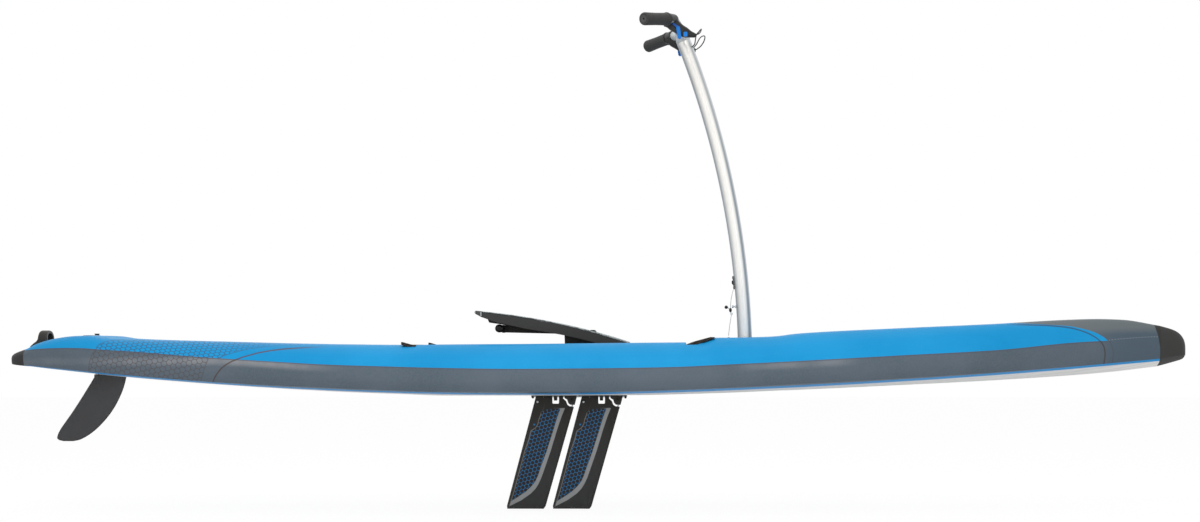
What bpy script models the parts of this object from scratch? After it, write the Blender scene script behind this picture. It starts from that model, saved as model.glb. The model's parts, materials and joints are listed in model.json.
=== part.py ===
"""Pedal paddle board: hull, stair-step pedal drive with two sweeping fins, steered rudder and curved handlebar mast.

Metres, +X to the bow, +Y to port, +Z up. The origin is on the flat of the hull bottom, on the centreline.
"""

import math

import bmesh
import bpy
from mathutils import Vector

# Clearances
GAP = 0.0003
RUNNING = 0.0003
SLIDING = 0.0006

# Hull offsets: station x, half width, keel, chine, colour band, deck edge
OFFSETS = (
    (-1.395, 0.145, 0.0885, 0.0935, 0.1385, 0.1440),
    (-1.364, 0.165, 0.0845, 0.0910, 0.1415, 0.1575),
    (-1.330, 0.183, 0.0805, 0.0880, 0.1440, 0.1680),
    (-1.290, 0.200, 0.0760, 0.0855, 0.1455, 0.1765),
    (-1.240, 0.219, 0.0705, 0.0815, 0.1462, 0.1822),
    (-1.190, 0.235, 0.0655, 0.0775, 0.1455, 0.1836),
    (-1.130, 0.252, 0.0590, 0.0715, 0.1415, 0.1757),
    (-1.000, 0.283, 0.0475, 0.0603, 0.1340, 0.1703),
    (-0.850, 0.313, 0.0360, 0.0500, 0.1220, 0.1663),
    (-0.600, 0.347, 0.0200, 0.0365, 0.1065, 0.1598),
    (-0.420, 0.367, 0.0105, 0.0290, 0.0970, 0.1567),
    (-0.250, 0.381, 0.0045, 0.0230, 0.0920, 0.1552),
    (-0.120, 0.389, 0.0000, 0.0185, 0.0885, 0.1578),
    (0.120, 0.399, 0.0000, 0.0182, 0.0852, 0.1587),
    (0.300, 0.401, 0.0004, 0.0188, 0.0865, 0.1605),
    (0.480, 0.399, 0.0013, 0.0212, 0.0885, 0.1625),
    (0.610, 0.395, 0.0042, 0.0245, 0.0915, 0.1638),
    (0.656, 0.393, 0.0054, 0.0262, 0.0935, 0.1642),
    (0.680, 0.392, 0.0062, 0.0275, 0.0947, 0.1672),
    (0.706, 0.391, 0.0070, 0.0290, 0.0960, 0.1766),
    (0.740, 0.389, 0.0080, 0.0305, 0.0978, 0.1768),
    (0.860, 0.381, 0.0130, 0.0363, 0.1035, 0.1794),
    (0.905, 0.377, 0.0150, 0.0386, 0.1057, 0.1823),
    (0.960, 0.372, 0.0170, 0.0415, 0.1086, 0.1894),
    (1.250, 0.334, 0.0303, 0.0565, 0.1240, 0.2048),
    (1.550, 0.270, 0.0452, 0.0745, 0.1400, 0.2185),
    (1.800, 0.197, 0.0607, 0.0915, 0.1630, 0.2325),
    (1.880, 0.169, 0.0670, 0.0975, 0.1670, 0.2346),
    (1.960, 0.139, 0.0745, 0.1045, 0.1693, 0.2326),
    (2.082, 0.079, 0.0890, 0.1140, 0.1710, 0.2150),
)
STATION_STEP = 0.100
TAIL_TIP_X = -1.4615
TAIL_TIP_Z = 0.1095
NOSE_TIP_X = 2.1725
NOSE_TIP_Z = 0.137
FLAT_HALF_WIDTH = 0.050
MOST_FLAT_SHARE = 0.13
CHINE_SHARE = 0.945
SHOULDER_SHARE = 0.72
DECK_CROWN = 0.004

# Cockpit recess and its foam pad
RECESS_FLOOR = 0.122
RECESS_HALF_WIDTH = 0.295
RECESS_REAR_X = -0.215
RECESS_REAR_RAMP = 0.065
RECESS_FRONT_X = 0.700
RECESS_FRONT_RAMP = 0.140
PAD_THICKNESS = 0.005
PAD_EDGE_GAP = 0.003
FLAP_INNER = 0.286
FLAP_OUTER = 0.318

# Drive well and liner
WELL_REAR_X = 0.132
WELL_FRONT_X = 0.444
WELL_HALF_WIDTH = 0.0570
LINER_WALL = 0.0035
LINER_FLANGE = 0.012
LINER_FLANGE_THICKNESS = 0.004

# Latch cams, which hold the drive down by its end tongues
LATCH_Z = 0.1370
LATCH_PIN = 0.0025
LATCH_EAR_INNER = 0.0110
LATCH_EAR_OUTER = 0.0150
LATCH_SETBACK = 0.0040
LATCH_HALF = 0.0100
LATCH_REACH = 0.0180
LATCH_TAIL_TOP = 0.1500
TONGUE_TOP = 0.1250

# Drive spine
SPINE_WEB_HALF = 0.012
SPINE_HEAD_HALF = 0.0255
SPINE_HEAD_REAR_X = 0.247
SPINE_HEAD_FRONT_X = 0.341
SPINE_HEAD_TOP = 0.2025
SPINE_HEAD_FLOOR = 0.095
SPINE_UNDERSIDE = 0.020

# Fins
FIN_AXIS_Z = -0.004
FIN_SHAFT_RADIUS = 0.0032
FIN_SLEEVE_RADIUS = 0.0058
FIN_LUG_RADIUS = 0.0135
FIN_LUG_WIDTH = 0.010
FIN_SPAN = 0.3475
FIN_TOP_Z = -0.0068
FIN_TOP_CHORD = 0.1278
FIN_TIP_CHORD = 0.1206
FIN_TRAIL_RAKE = 0.0919
FIN_AFT_X = 0.1526
FIN_PITCH = 0.1430
FIN_MAST_RADIUS = 0.0025
FIN_MAST_INSET = 0.0062
FIN_LEAD_HALF = 0.0050
# From the fin's rear edge: the window in its sleeve, and the lug that hangs in it
FIN_WINDOW = (0.0514, 0.0733)
FIN_LUG_AT = 0.0620
SPROCKET_RADIUS = 0.019
SPROCKET_TEETH = 14

# Cranks, rollers and pedal pads
CRANK_X = 0.300
CRANK_Z = 0.142
CRANK_INNER = 0.0300
CRANK_OUTER = 0.0460
SPINDLE_RADIUS = 0.0070
SPINDLE_CAP_RADIUS = 0.0160
ROLLER_X = 0.0467
ROLLER_Z = 0.2066
ROLLER_RADIUS = 0.0125
ROLLER_PIN_RADIUS = 0.0040
ROLLER_INNER = 0.0615
ROLLER_OUTER = 0.0835
FOOT_INNER = 0.0520
FOOT_OUTER = 0.1820
FOOT_WALL = 0.0060
FOOT_ARC_RADIUS = 1.984
FOOT_ARC_X = -0.1819
FOOT_ARC_Z = -1.7178
FOOT_REAR_X = -0.0185
FOOT_CAP_X = 0.0040
FOOT_FRONT_X = 0.4830
FOOT_GRIP_THICKNESS = 0.0040
FOOT_HINGE_X = 0.497
FOOT_HINGE_Z = 0.1385
FOOT_KNUCKLE_RADIUS = 0.0090
FOOT_PIN_RADIUS = 0.0037
FOOT_DEPTHS = (
    (0.0045, 0.0140),
    (0.0470, 0.0240),
    (0.1000, 0.0290),
    (0.1440, 0.0315),
    (0.2000, 0.0305),
    (0.2556, 0.0290),
    (0.3100, 0.0280),
    (0.3820, 0.0275),
    (0.4200, 0.0220),
    (0.4600, 0.0140),
    (0.4830, 0.0110),
)
IDLER_X = 0.381
IDLER_Z = 0.140
IDLER_RADIUS = 0.0250

# Rudder
RUDDER_X = -1.2140
RUDDER_STOCK_RADIUS = 0.0050
RUDDER_TUBE_WALL = 0.0028
RUDDER_FLANGE_RADIUS = 0.0160
RUDDER_FLANGE_THICKNESS = 0.0030
# Rudder blade rows: height, trailing edge x, leading edge x, half thickness
RUDDER_ROWS = (
    (0.0615, -1.2168, -1.1222, 0.0070),
    (0.0400, -1.2298, -1.1268, 0.0068),
    (0.0093, -1.2500, -1.1362, 0.0064),
    (-0.0218, -1.2700, -1.1502, 0.0059),
    (-0.0530, -1.2903, -1.1689, 0.0053),
    (-0.0841, -1.3122, -1.1938, 0.0046),
    (-0.1075, -1.3280, -1.2172, 0.0039),
    (-0.1231, -1.3357, -1.2374, 0.0033),
    (-0.1340, -1.3380, -1.2555, 0.0026),
    (-0.1403, -1.3320, -1.2700, 0.0019),
    (-0.1438, -1.3180, -1.2880, 0.0011),
)
RUDDER_TOP_RISE = 0.0855

# Tail handle
HANDLE_X = -1.3727
HANDLE_HALF = 0.038
HANDLE_TOP = 0.2012

# Mast and handlebar
MAST_FOOT_X = 0.8055
MAST_LEVEL_Z = 0.089
MAST_BEND_RADIUS = 2.757
MAST_RADIUS = 0.0222
MAST_BORE = 0.0197
MAST_BOTTOM_Z = 0.075
MAST_TOP_Z = 1.100
SOCKET_WALL = 0.0040
SOCKET_FLOOR_Z = 0.068
DECK_POCKET_REAR_X = 0.738
DECK_POCKET_FRONT_X = 0.866
DECK_POCKET_HALF = 0.048
DECK_POCKET_Z = 0.1660
SOCKET_PLATE_THICKNESS = 0.006
BAR_RADIUS = 0.0145
# Handlebar centreline on one side: x, distance from the centre, height
BAR_ROUTE = (
    (0.6060, 0.000, 1.1250),
    (0.6050, 0.030, 1.1255),
    (0.6020, 0.060, 1.1275),
    (0.5975, 0.090, 1.1310),
    (0.5910, 0.120, 1.1375),
    (0.5825, 0.150, 1.1422),
    (0.5740, 0.168, 1.1436),
    (0.5476, 0.2055, 1.1367),
    (0.5060, 0.2570, 1.1288),
)
GRIP_RADIUS = 0.0190
GRIP_INNER = (0.5640, 0.1850, 1.1398)
GRIP_OUTER = (0.4949, 0.2700, 1.1268)
HOOD_REAR_Y = 0.1640
HOOD_NOSE_Y = 0.1490
CLAMP_INNER = (0.5825, 0.1500, 1.1422)
CLAMP_RADIUS = 0.0186
# Lever housing rows: x, underside, top, half width
HOOD_ROWS = (
    (0.5540, 1.1215, 1.1410, 0.0110),
    (0.5640, 1.1180, 1.1480, 0.0125),
    (0.5710, 1.1120, 1.1545, 0.0165),
    (0.5857, 1.1033, 1.1535, 0.0170),
    (0.6000, 1.0945, 1.1385, 0.0162),
    (0.6120, 1.0903, 1.1270, 0.0150),
    (0.6250, 1.0893, 1.1190, 0.0128),
    (0.6380, 1.0896, 1.1088, 0.0110),
    (0.6480, 1.0900, 1.1035, 0.0095),
    (0.6515, 1.0915, 1.1015, 0.0075),
)
LEVER_X = 0.5970
LEVER_Z = 1.1160
LEVER_DISTANCE = 0.1745
BUTTON_X = 0.6195
BUTTON_Z = 1.0972
CABLE_RADIUS = 0.0018
# Each cable's line from its hood to the mast: x, distance from the centre, height
CABLE_ROUTES = {
    "starboard": (
        (0.6440, 0.1505, 1.0975),
        (0.6525, 0.1490, 1.0990),
        (0.6590, 0.1465, 1.1015),
        (0.6645, 0.1360, 1.1080),
        (0.6672, 0.1200, 1.1165),
        (0.6676, 0.1000, 1.1234),
        (0.6594, 0.0800, 1.1175),
        (0.6527, 0.0550, 1.1124),
        (0.6495, 0.0310, 1.0980),
        (0.6468, 0.0200, 1.0885),
        (0.6350, 0.0080, 1.0790),
        (0.6270, 0.0070, 1.0760),
    ),
    "port": (
        (0.6440, 0.1505, 1.0975),
        (0.6525, 0.1490, 1.0990),
        (0.6600, 0.1465, 1.1030),
        (0.6690, 0.1390, 1.1100),
        (0.6770, 0.1240, 1.1200),
        (0.6805, 0.1050, 1.1290),
        (0.6790, 0.0870, 1.1320),
        (0.6725, 0.0700, 1.1290),
        (0.6650, 0.0540, 1.1210),
        (0.6590, 0.0390, 1.1090),
        (0.6530, 0.0250, 1.0960),
        (0.6450, 0.0140, 1.0850),
        (0.6350, 0.0080, 1.0790),
        (0.6270, 0.0070, 1.0760),
    ),
}

SIDES = (("starboard", -1.0), ("port", 1.0))

# Colours as seen, in sRGB
FINISHES = {
    "deck_blue": ((40, 158, 222), 0.35, 0.0),
    "charcoal": ((62, 62, 62), 0.6, 0.0),
    "black": ((38, 38, 38), 0.5, 0.0),
    "foam": ((52, 50, 48), 0.9, 0.0),
    "aluminium": ((222, 224, 226), 0.3, 1.0),
    "steel": ((190, 192, 194), 0.25, 1.0),
    "blue": ((10, 110, 195), 0.45, 0.0),
    "grey": ((150, 154, 156), 0.5, 0.0),
}


def clear_scene():
    for old in list(bpy.data.objects):
        bpy.data.objects.remove(old)


def linear(channel):
    share = channel / 255
    return share / 12.92 if share <= 0.04045 else ((share + 0.055) / 1.055) ** 2.4


def material(name, finish):
    colour, roughness, metallic = FINISHES[finish]
    made = bpy.data.materials.new(name)
    made.use_nodes = True
    shader = made.node_tree.nodes["Principled BSDF"]
    shader.inputs["Base Color"].default_value = [*map(linear, colour), 1.0]
    shader.inputs["Roughness"].default_value = roughness
    shader.inputs["Metallic"].default_value = metallic
    return made


PIVOTS = {}


def add_pivot(name, place):
    """An empty on a moving body's joint axis. Its pieces are parented to it."""
    empty = bpy.data.objects.new("axis_" + name, None)
    bpy.context.scene.collection.objects.link(empty)
    empty.location = place
    PIVOTS[name] = empty


def add(name, points, faces, finish, pivot=None, smooth=True):
    """A closed mesh given in world coordinates, stored about its pivot."""
    origin = PIVOTS[pivot].location.copy() if pivot else Vector((0, 0, 0))
    mesh = bpy.data.meshes.new(name)
    mesh.from_pydata([Vector(p) - origin for p in points], [], faces)
    work = bmesh.new()
    work.from_mesh(mesh)
    bmesh.ops.recalc_face_normals(work, faces=work.faces)
    work.to_mesh(mesh)
    work.free()
    if smooth:
        mesh.shade_smooth()
        mesh.set_sharp_from_angle(angle=math.radians(35))
    made = bpy.data.objects.new(name, mesh)
    bpy.context.scene.collection.objects.link(made)
    if pivot:
        made.parent = PIVOTS[pivot]
    mesh.materials.append(material(name, finish))
    return made


def helper(made):
    """Marks an object as a cutter or a guide, which isn't a piece of the board."""
    made.hide_render = True
    made.display_type = "WIRE"
    return made


def boolean(target, others, operation):
    for other in others:
        modifier = target.modifiers.new(operation.lower() + "_" + other.name, "BOOLEAN")
        modifier.operation = operation
        modifier.solver = "EXACT"
        modifier.object = helper(other)
    return target


def cut(target, *cutters):
    return boolean(target, cutters, "DIFFERENCE")


def fuse(target, *others):
    return boolean(target, others, "UNION")


def loft(name, rings, finish="black", pivot=None, smooth=True):
    """A skin through rings of as many points each, closed by a face at either end."""
    count = len(rings[0])
    points = [p for ring in rings for p in ring]
    faces = [tuple(range(count)), tuple(range(len(points) - count, len(points)))]
    for i in range(len(rings) - 1):
        for j in range(count):
            a = i * count + j
            b = i * count + (j + 1) % count
            faces.append((a, b, b + count, a + count))
    return add(name, points, faces, finish, pivot, smooth)


def prism(name, outline, low, high, finish="black", pivot=None, axis="Y"):
    """An outline in XZ drawn out along Y, or one in XY drawn out along Z."""
    if axis == "Y":
        rings = [[(x, at, z) for x, z in outline] for at in (low, high)]
    else:
        rings = [[(x, y, at) for x, y in outline] for at in (low, high)]
    return loft(name, rings, finish, pivot)


def box(name, low, high, finish="black", pivot=None):
    outline = ((low[0], low[2]), (high[0], low[2]), (high[0], high[2]), (low[0], high[2]))
    return prism(name, outline, low[1], high[1], finish, pivot)


def frame_of(direction):
    """Two unit vectors square to a direction."""
    direction = Vector(direction).normalized()
    guide = Vector((0, 0, 1)) if abs(direction.z) < 0.9 else Vector((1, 0, 0))
    side = direction.cross(guide).normalized()
    return side, direction.cross(side)


def turned(name, start, end, profile, finish="black", pivot=None, sides=20):
    """A solid turned about the line from start to end. The profile lists (share along it, radius)."""
    start = Vector(start)
    along = Vector(end) - start
    side, up = frame_of(along)
    rings = []
    for share, radius in profile:
        centre = start + along * share
        turns = [math.tau * k / sides for k in range(sides)]
        rings.append([centre + (side * math.cos(a) + up * math.sin(a)) * radius for a in turns])
    return loft(name, rings, finish, pivot)


def rod(name, start, end, radius, finish="black", pivot=None, sides=20):
    return turned(name, start, end, ((0, radius), (1, radius)), finish, pivot, sides)


def disc_outline(x, z, radius, first=0, last=360, steps=12):
    """Points of an arc in XZ, in degrees from +X towards +Z."""
    turns = [math.radians(first + (last - first) * k / steps) for k in range(steps + 1)]
    if abs(last - first) == 360:
        turns.pop()
    return [(x + radius * math.cos(a), z + radius * math.sin(a)) for a in turns]


def rounded(low_a, low_b, high_a, high_b, radius, steps=4):
    """A rectangle with round corners."""
    corners = (
        (high_a - radius, high_b - radius, 0),
        (low_a + radius, high_b - radius, 90),
        (low_a + radius, low_b + radius, 180),
        (high_a - radius, low_b + radius, 270),
    )
    outline = []
    for a, b, turn in corners:
        outline += disc_outline(a, b, radius, turn, turn + 90, steps)
    return outline


def smooth_route(points, per_span=3):
    """Points on a smooth curve through the given ones (Catmull-Rom)."""
    ends = [2 * Vector(points[0]) - Vector(points[1])]
    ends += [Vector(p) for p in points]
    ends.append(2 * Vector(points[-1]) - Vector(points[-2]))
    route = []
    for i in range(1, len(ends) - 2):
        a, b, c, d = ends[i - 1 : i + 3]
        for k in range(per_span):
            t = k / per_span
            route.append(
                0.5
                * (2 * b + (c - a) * t + (2 * a - 5 * b + 4 * c - d) * t**2 + (3 * b - a - 3 * c + d) * t**3)
            )
    route.append(ends[-2])
    return route


def swept_rings(route, radius, sides):
    """Round rings square to a route, with no twist between them."""
    rings = []
    side = None
    for i, place in enumerate(route):
        along = (route[min(i + 1, len(route) - 1)] - route[max(i - 1, 0)]).normalized()
        if side is None:
            side, _ = frame_of(along)
        side = (side - along * side.dot(along)).normalized()
        up = along.cross(side)
        turns = [math.tau * k / sides for k in range(sides)]
        rings.append([place + (side * math.cos(a) + up * math.sin(a)) * radius for a in turns])
    return rings


def tube(name, route, radius, finish="black", pivot=None, sides=8):
    """A round bar along a route."""
    return loft(name, swept_rings(route, radius, sides), finish, pivot)


def pipe(name, outer, inner, finish, pivot=None):
    """A hollow tube between two runs of rings, open at both ends."""
    rings = outer + inner[::-1]
    sides = len(rings[0])
    points = [p for ring in rings for p in ring]
    faces = []
    for i in range(len(rings)):
        for j in range(sides):
            a = i * sides + j
            b = i * sides + (j + 1) % sides
            shift = sides if i < len(rings) - 1 else -i * sides
            faces.append((a, b, b + shift, a + shift))
    return add(name, points, faces, finish, pivot)


def steady_curve(column, x):
    """The offsets read at x through a monotone cubic, so that no bump shows between stations."""
    xs = [row[0] for row in OFFSETS]
    ys = [row[column] for row in OFFSETS]
    slopes = [(ys[i + 1] - ys[i]) / (xs[i + 1] - xs[i]) for i in range(len(xs) - 1)]
    tangents = [slopes[0]]
    for before, after in zip(slopes, slopes[1:]):
        same_way = before * after > 0
        tangents.append(2 * before * after / (before + after) if same_way else 0.0)
    tangents.append(slopes[-1])
    x = min(max(x, xs[0]), xs[-1])
    i = min(max(sum(x >= station for station in xs) - 1, 0), len(xs) - 2)
    width = xs[i + 1] - xs[i]
    t = (x - xs[i]) / width
    return (
        ys[i] * (1 + 2 * t) * (1 - t) ** 2
        + tangents[i] * width * t * (1 - t) ** 2
        + ys[i + 1] * t**2 * (3 - 2 * t)
        + tangents[i + 1] * width * t**2 * (t - 1)
    )


def half_section(x):
    """Half of the hull's section at x, from the keel to the middle of the deck, as (y, z)."""
    half, keel, chine, band, deck = (steady_curve(column, x) for column in range(1, 6))
    flat = min(FLAT_HALF_WIDTH / half, MOST_FLAT_SHARE)
    points = []
    for share in (0.0, flat, 0.32, 0.52, 0.70, 0.84, CHINE_SHARE):
        rise = (max(share - flat, 0.0) / (CHINE_SHARE - flat)) ** 1.6
        points.append((share * half, keel + (chine - keel) * rise))
    widest = chine + 0.6 * (band - chine)
    middle = chine + 0.3 * (band - chine)
    points.append((0.986 * half, middle))
    for share in (0.0, 0.25, 0.45, 0.63, 0.78, 0.90, 0.97, 1.0):
        inward = (1 - share**2.6) ** (1 / 1.8)
        y = half * (SHOULDER_SHARE + (1 - SHOULDER_SHARE) * inward)
        points.append((y, widest + share * (deck - widest)))
    for share in (0.50, 0.25, 0.0):
        points.append((share * half, deck + DECK_CROWN * (1 - share**2) * (1 - SHOULDER_SHARE)))
    return points


def ring_at(x, half_points):
    """A whole ring of the hull from half of its section."""
    right = [(x, -y, z) for y, z in half_points]
    left = [(x, y, z) for y, z in half_points[1:-1]]
    return right + left[::-1]


def deck_height(x, y=0.0):
    points = half_section(x)[-11:]
    for (y0, z0), (y1, z1) in zip(points, points[1:]):
        if y1 <= abs(y) <= y0:
            return z1 + (z0 - z1) * (abs(y) - y1) / max(y0 - y1, 1e-9)
    return points[-1][1]


def end_rings(edge_x, tip_x, tip_z, roundness, taper, climb):
    """The rings of a rounded hull end, from its edge to its tip.

    A higher roundness is a squarer end, and the climb is how late its middle moves to the tip's height.
    """
    edge = half_section(edge_x)
    middle = (edge[0][1] + edge[-1][1]) / 2
    rings = []
    for share in (0.0, 0.2, 0.4, 0.58, 0.72, 0.84, 0.93, 0.985):
        size = (1 - share**roundness) ** (1.5 / (roundness + 1)) * (1 - taper * share)
        rise = (tip_z - middle) * share**climb
        x = edge_x + (tip_x - edge_x) * share
        rings.append(ring_at(x, [(y * size, middle + rise + (z - middle) * size) for y, z in edge]))
    return rings


def add_hull():
    first, last = OFFSETS[0][0], OFFSETS[-1][0]
    stations = {row[0] for row in OFFSETS}
    stations |= {0.693, 2.02, 2.055}
    x = first + STATION_STEP
    while x < last - STATION_STEP / 2:
        if min(abs(x - station) for station in stations) > STATION_STEP * 0.45:
            stations.add(round(x, 4))
        x += STATION_STEP
    rings = [ring_at(x, half_section(x)) for x in sorted(stations)]
    hull = loft("hull", rings, "deck_blue")
    recess = prism("cutter_recess", recess_outline(0.0, 0.12), -RECESS_HALF_WIDTH, RECESS_HALF_WIDTH)
    well_outline = rounded(WELL_REAR_X, -WELL_HALF_WIDTH, WELL_FRONT_X, WELL_HALF_WIDTH, 0.014)
    well = prism("cutter_well", well_outline, -0.05, 0.2, axis="Z")
    pocket_outline = rounded(
        DECK_POCKET_REAR_X, -DECK_POCKET_HALF, DECK_POCKET_FRONT_X, DECK_POCKET_HALF, 0.014
    )
    pocket = prism("cutter_mast_pocket", pocket_outline, DECK_POCKET_Z, 0.3, axis="Z")
    socket_radius = MAST_RADIUS + GAP + SOCKET_WALL + GAP
    socket = rod(
        "cutter_socket",
        (MAST_FOOT_X, 0, SOCKET_FLOOR_Z - SOCKET_WALL - GAP),
        (MAST_FOOT_X, 0, DECK_POCKET_Z + 0.01),
        socket_radius,
        sides=24,
    )
    tube_radius = RUDDER_STOCK_RADIUS + RUNNING + RUDDER_TUBE_WALL + GAP
    flange_floor = rudder_deck() - RUDDER_FLANGE_THICKNESS - GAP
    bearing = rod("cutter_rudder_tube", (RUDDER_X, 0, 0.0), (RUDDER_X, 0, 0.25), tube_radius)
    seat = rod(
        "cutter_rudder_seat", (RUDDER_X, 0, flange_floor), (RUDDER_X, 0, 0.25), RUDDER_FLANGE_RADIUS + GAP
    )
    cut(hull, recess, well, pocket, socket, bearing, seat, *flap_notches())


def recess_outline(lift, top):
    """The recess in side view, lifted by a thickness off its floor and ramps."""
    rear_deck = deck_height(RECESS_REAR_X) + lift
    front_deck = deck_height(RECESS_FRONT_X) + lift
    floor = RECESS_FLOOR + lift
    return [
        (RECESS_REAR_X, rear_deck + top),
        (RECESS_REAR_X, rear_deck),
        (RECESS_REAR_X + RECESS_REAR_RAMP, floor),
        (RECESS_FRONT_X - RECESS_FRONT_RAMP, floor),
        (RECESS_FRONT_X, front_deck),
        (RECESS_FRONT_X, front_deck + top),
    ]


def add_end_caps():
    nose_edge, tail_edge = OFFSETS[-1][0], OFFSETS[0][0]
    loft("nose_cap", end_rings(nose_edge + GAP, NOSE_TIP_X, NOSE_TIP_Z, 4.0, 0.35, 5), "charcoal")
    loft("tail_cap", end_rings(tail_edge - GAP, TAIL_TIP_X, TAIL_TIP_Z, 5.0, 0.4, 1), "charcoal")


def flap_outlines():
    """The four flaps by which the pad folds over the gunwales: (lower line, upper line) of each end."""
    rear = (
        ((-0.2200, 0.1564), (-0.2037, 0.1508), (-0.1778, 0.1502)),
        ((-0.1778, 0.1547), (-0.1946, 0.1570), (-0.2161, 0.1632), (-0.2200, 0.1640)),
    )
    front = (
        ((0.6212, 0.1562), (0.6557, 0.1567), (0.7065, 0.1771)),
        ((0.7065, 0.1787), (0.6929, 0.1787), (0.6489, 0.1668), (0.6354, 0.1623), (0.6212, 0.1567)),
    )
    return ("rear", rear), ("front", front)


def flap_notches():
    """Cutters for the steps in the gunwales that the flaps lie in."""
    notches = []
    for end, (lower, _) in flap_outlines():
        outline = [(x, z - GAP) for x, z in lower]
        outline[0] = (outline[0][0] - GAP, outline[0][1])
        outline[-1] = (outline[-1][0] + GAP, outline[-1][1])
        outline += [(outline[-1][0], 0.25), (outline[0][0], 0.25)]
        for side, way in SIDES:
            low, high = sorted((way * (FLAP_INNER - GAP), way * 0.45))
            notches.append(prism(f"cutter_notch_{end}_{side}", outline, low, high))
    return notches


def add_deck_pad():
    """One foam sheet over the recess floor and both ramps, with flaps that fold over the gunwales."""
    rear, front = RECESS_REAR_X, RECESS_FRONT_X
    rear_slope = (deck_height(rear) - RECESS_FLOOR) / RECESS_REAR_RAMP
    inset = PAD_THICKNESS / rear_slope
    rear_deck, front_deck = deck_height(rear), deck_height(front) + GAP
    floor = RECESS_FLOOR + GAP
    lower = [
        (rear + inset, rear_deck - PAD_THICKNESS + GAP),
        (rear + RECESS_REAR_RAMP, floor),
        (front - RECESS_FRONT_RAMP, floor),
        (front - GAP, front_deck),
    ]
    upper = [
        (front - GAP, front_deck + PAD_THICKNESS * 0.4),
        (front - 0.006, front_deck + PAD_THICKNESS * 0.4),
        (front - RECESS_FRONT_RAMP - 0.001, floor + PAD_THICKNESS),
        (rear + RECESS_REAR_RAMP + 0.001, floor + PAD_THICKNESS),
        (rear + inset, rear_deck),
    ]
    width = RECESS_HALF_WIDTH - PAD_EDGE_GAP
    pad = prism("deck_pad", lower + upper, -width, width, "foam")
    for end, (low_line, high_line) in flap_outlines():
        for side, way in SIDES:
            low, high = sorted((way * FLAP_INNER, way * FLAP_OUTER))
            fuse(pad, prism(f"part_flap_{end}_{side}", low_line + high_line, low, high))
    margin = LINER_FLANGE + 0.004
    hole = rounded(
        WELL_REAR_X - margin, -WELL_HALF_WIDTH - margin, WELL_FRONT_X + margin, WELL_HALF_WIDTH + margin, 0.02
    )
    cutters = [prism("cutter_pad_well", hole, 0.1, 0.2, axis="Z")]
    for side, way in SIDES:
        low, high = sorted((way * (FOOT_INNER - 0.002), way * (FOOT_OUTER + 0.004)))
        cutters.append(
            box("cutter_pad_hinge_" + side, (FOOT_HINGE_X - 0.017, low, 0.1), (FOOT_HINGE_X + 0.017, high, 0.2))
        )
    cut(pad, *cutters)


def add_well_liner():
    """A tube with a flange that lines the drive well, with the ears that carry the two latch cams."""
    outer = rounded(
        WELL_REAR_X + GAP, -WELL_HALF_WIDTH + GAP, WELL_FRONT_X - GAP, WELL_HALF_WIDTH - GAP, 0.014
    )
    floor = RECESS_FLOOR + GAP
    top = floor + LINER_FLANGE_THICKNESS
    liner = prism("well_liner", outer, 0.002, top, "charcoal", axis="Z")
    flange_outline = rounded(
        WELL_REAR_X - LINER_FLANGE,
        -WELL_HALF_WIDTH - LINER_FLANGE,
        WELL_FRONT_X + LINER_FLANGE,
        WELL_HALF_WIDTH + LINER_FLANGE,
        0.018,
    )
    fuse(liner, prism("part_liner_flange", flange_outline, floor, top, axis="Z"))
    for name, x, _ in latches():
        for way in (-1, 1):
            low, high = sorted((way * LATCH_EAR_INNER, way * LATCH_EAR_OUTER))
            ear = box(
                f"part_ear_{name}_{way + 1}", (x - 0.006, low, top - 0.002), (x + 0.006, high, LATCH_Z + 0.006)
            )
            fuse(liner, ear)
        fuse(liner, rod("part_latch_pin_" + name, (x, -LATCH_EAR_OUTER, LATCH_Z), (x, LATCH_EAR_OUTER, LATCH_Z), LATCH_PIN))
    bore = rounded(
        WELL_REAR_X + LINER_WALL,
        -WELL_HALF_WIDTH + LINER_WALL,
        WELL_FRONT_X - LINER_WALL,
        WELL_HALF_WIDTH - LINER_WALL,
        0.011,
    )
    cut(liner, prism("cutter_liner_bore", bore, -0.05, top + 0.001, axis="Z"))


def latches():
    """Name, pivot x and the way each latch cam reaches in over the drive's end tongue."""
    return (
        ("aft", WELL_REAR_X - LATCH_SETBACK, 1.0),
        ("fore", WELL_FRONT_X + LATCH_SETBACK, -1.0),
    )


def add_latch_cams():
    """Each cam lies over the drive's end tongue at rest, and swings up and away to free it."""
    for name, x, way in latches():
        pivot = "latch_" + name
        add_pivot(pivot, (x, 0, LATCH_Z))
        hook = [
            (x + way * 0.0040, LATCH_Z + 0.0055),
            (x + way * LATCH_REACH, LATCH_Z + 0.0010),
            (x + way * LATCH_REACH, TONGUE_TOP + GAP),
            (x + way * 0.0120, TONGUE_TOP + GAP),
            (x + way * 0.0080, LATCH_Z - 0.0060),
            (x + way * 0.0010, LATCH_Z - 0.0060),
            (x - way * 0.0055, LATCH_Z - 0.0010),
            (x - way * 0.0070, LATCH_TAIL_TOP - 0.0010),
            (x - way * 0.0060, LATCH_TAIL_TOP),
            (x - way * 0.0030, LATCH_TAIL_TOP),
            (x - way * 0.0020, LATCH_Z + 0.0070),
        ]
        cam = prism("latch_cam_" + name, hook, -LATCH_HALF, LATCH_HALF, "black", pivot)
        bore = rod(
            "cutter_latch_" + name, (x, -0.02, LATCH_Z), (x, 0.02, LATCH_Z), LATCH_PIN + RUNNING, pivot=None
        )
        cut(cam, bore)


def fin_starts():
    return (("aft", FIN_AFT_X), ("fore", FIN_AFT_X + FIN_PITCH))


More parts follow.
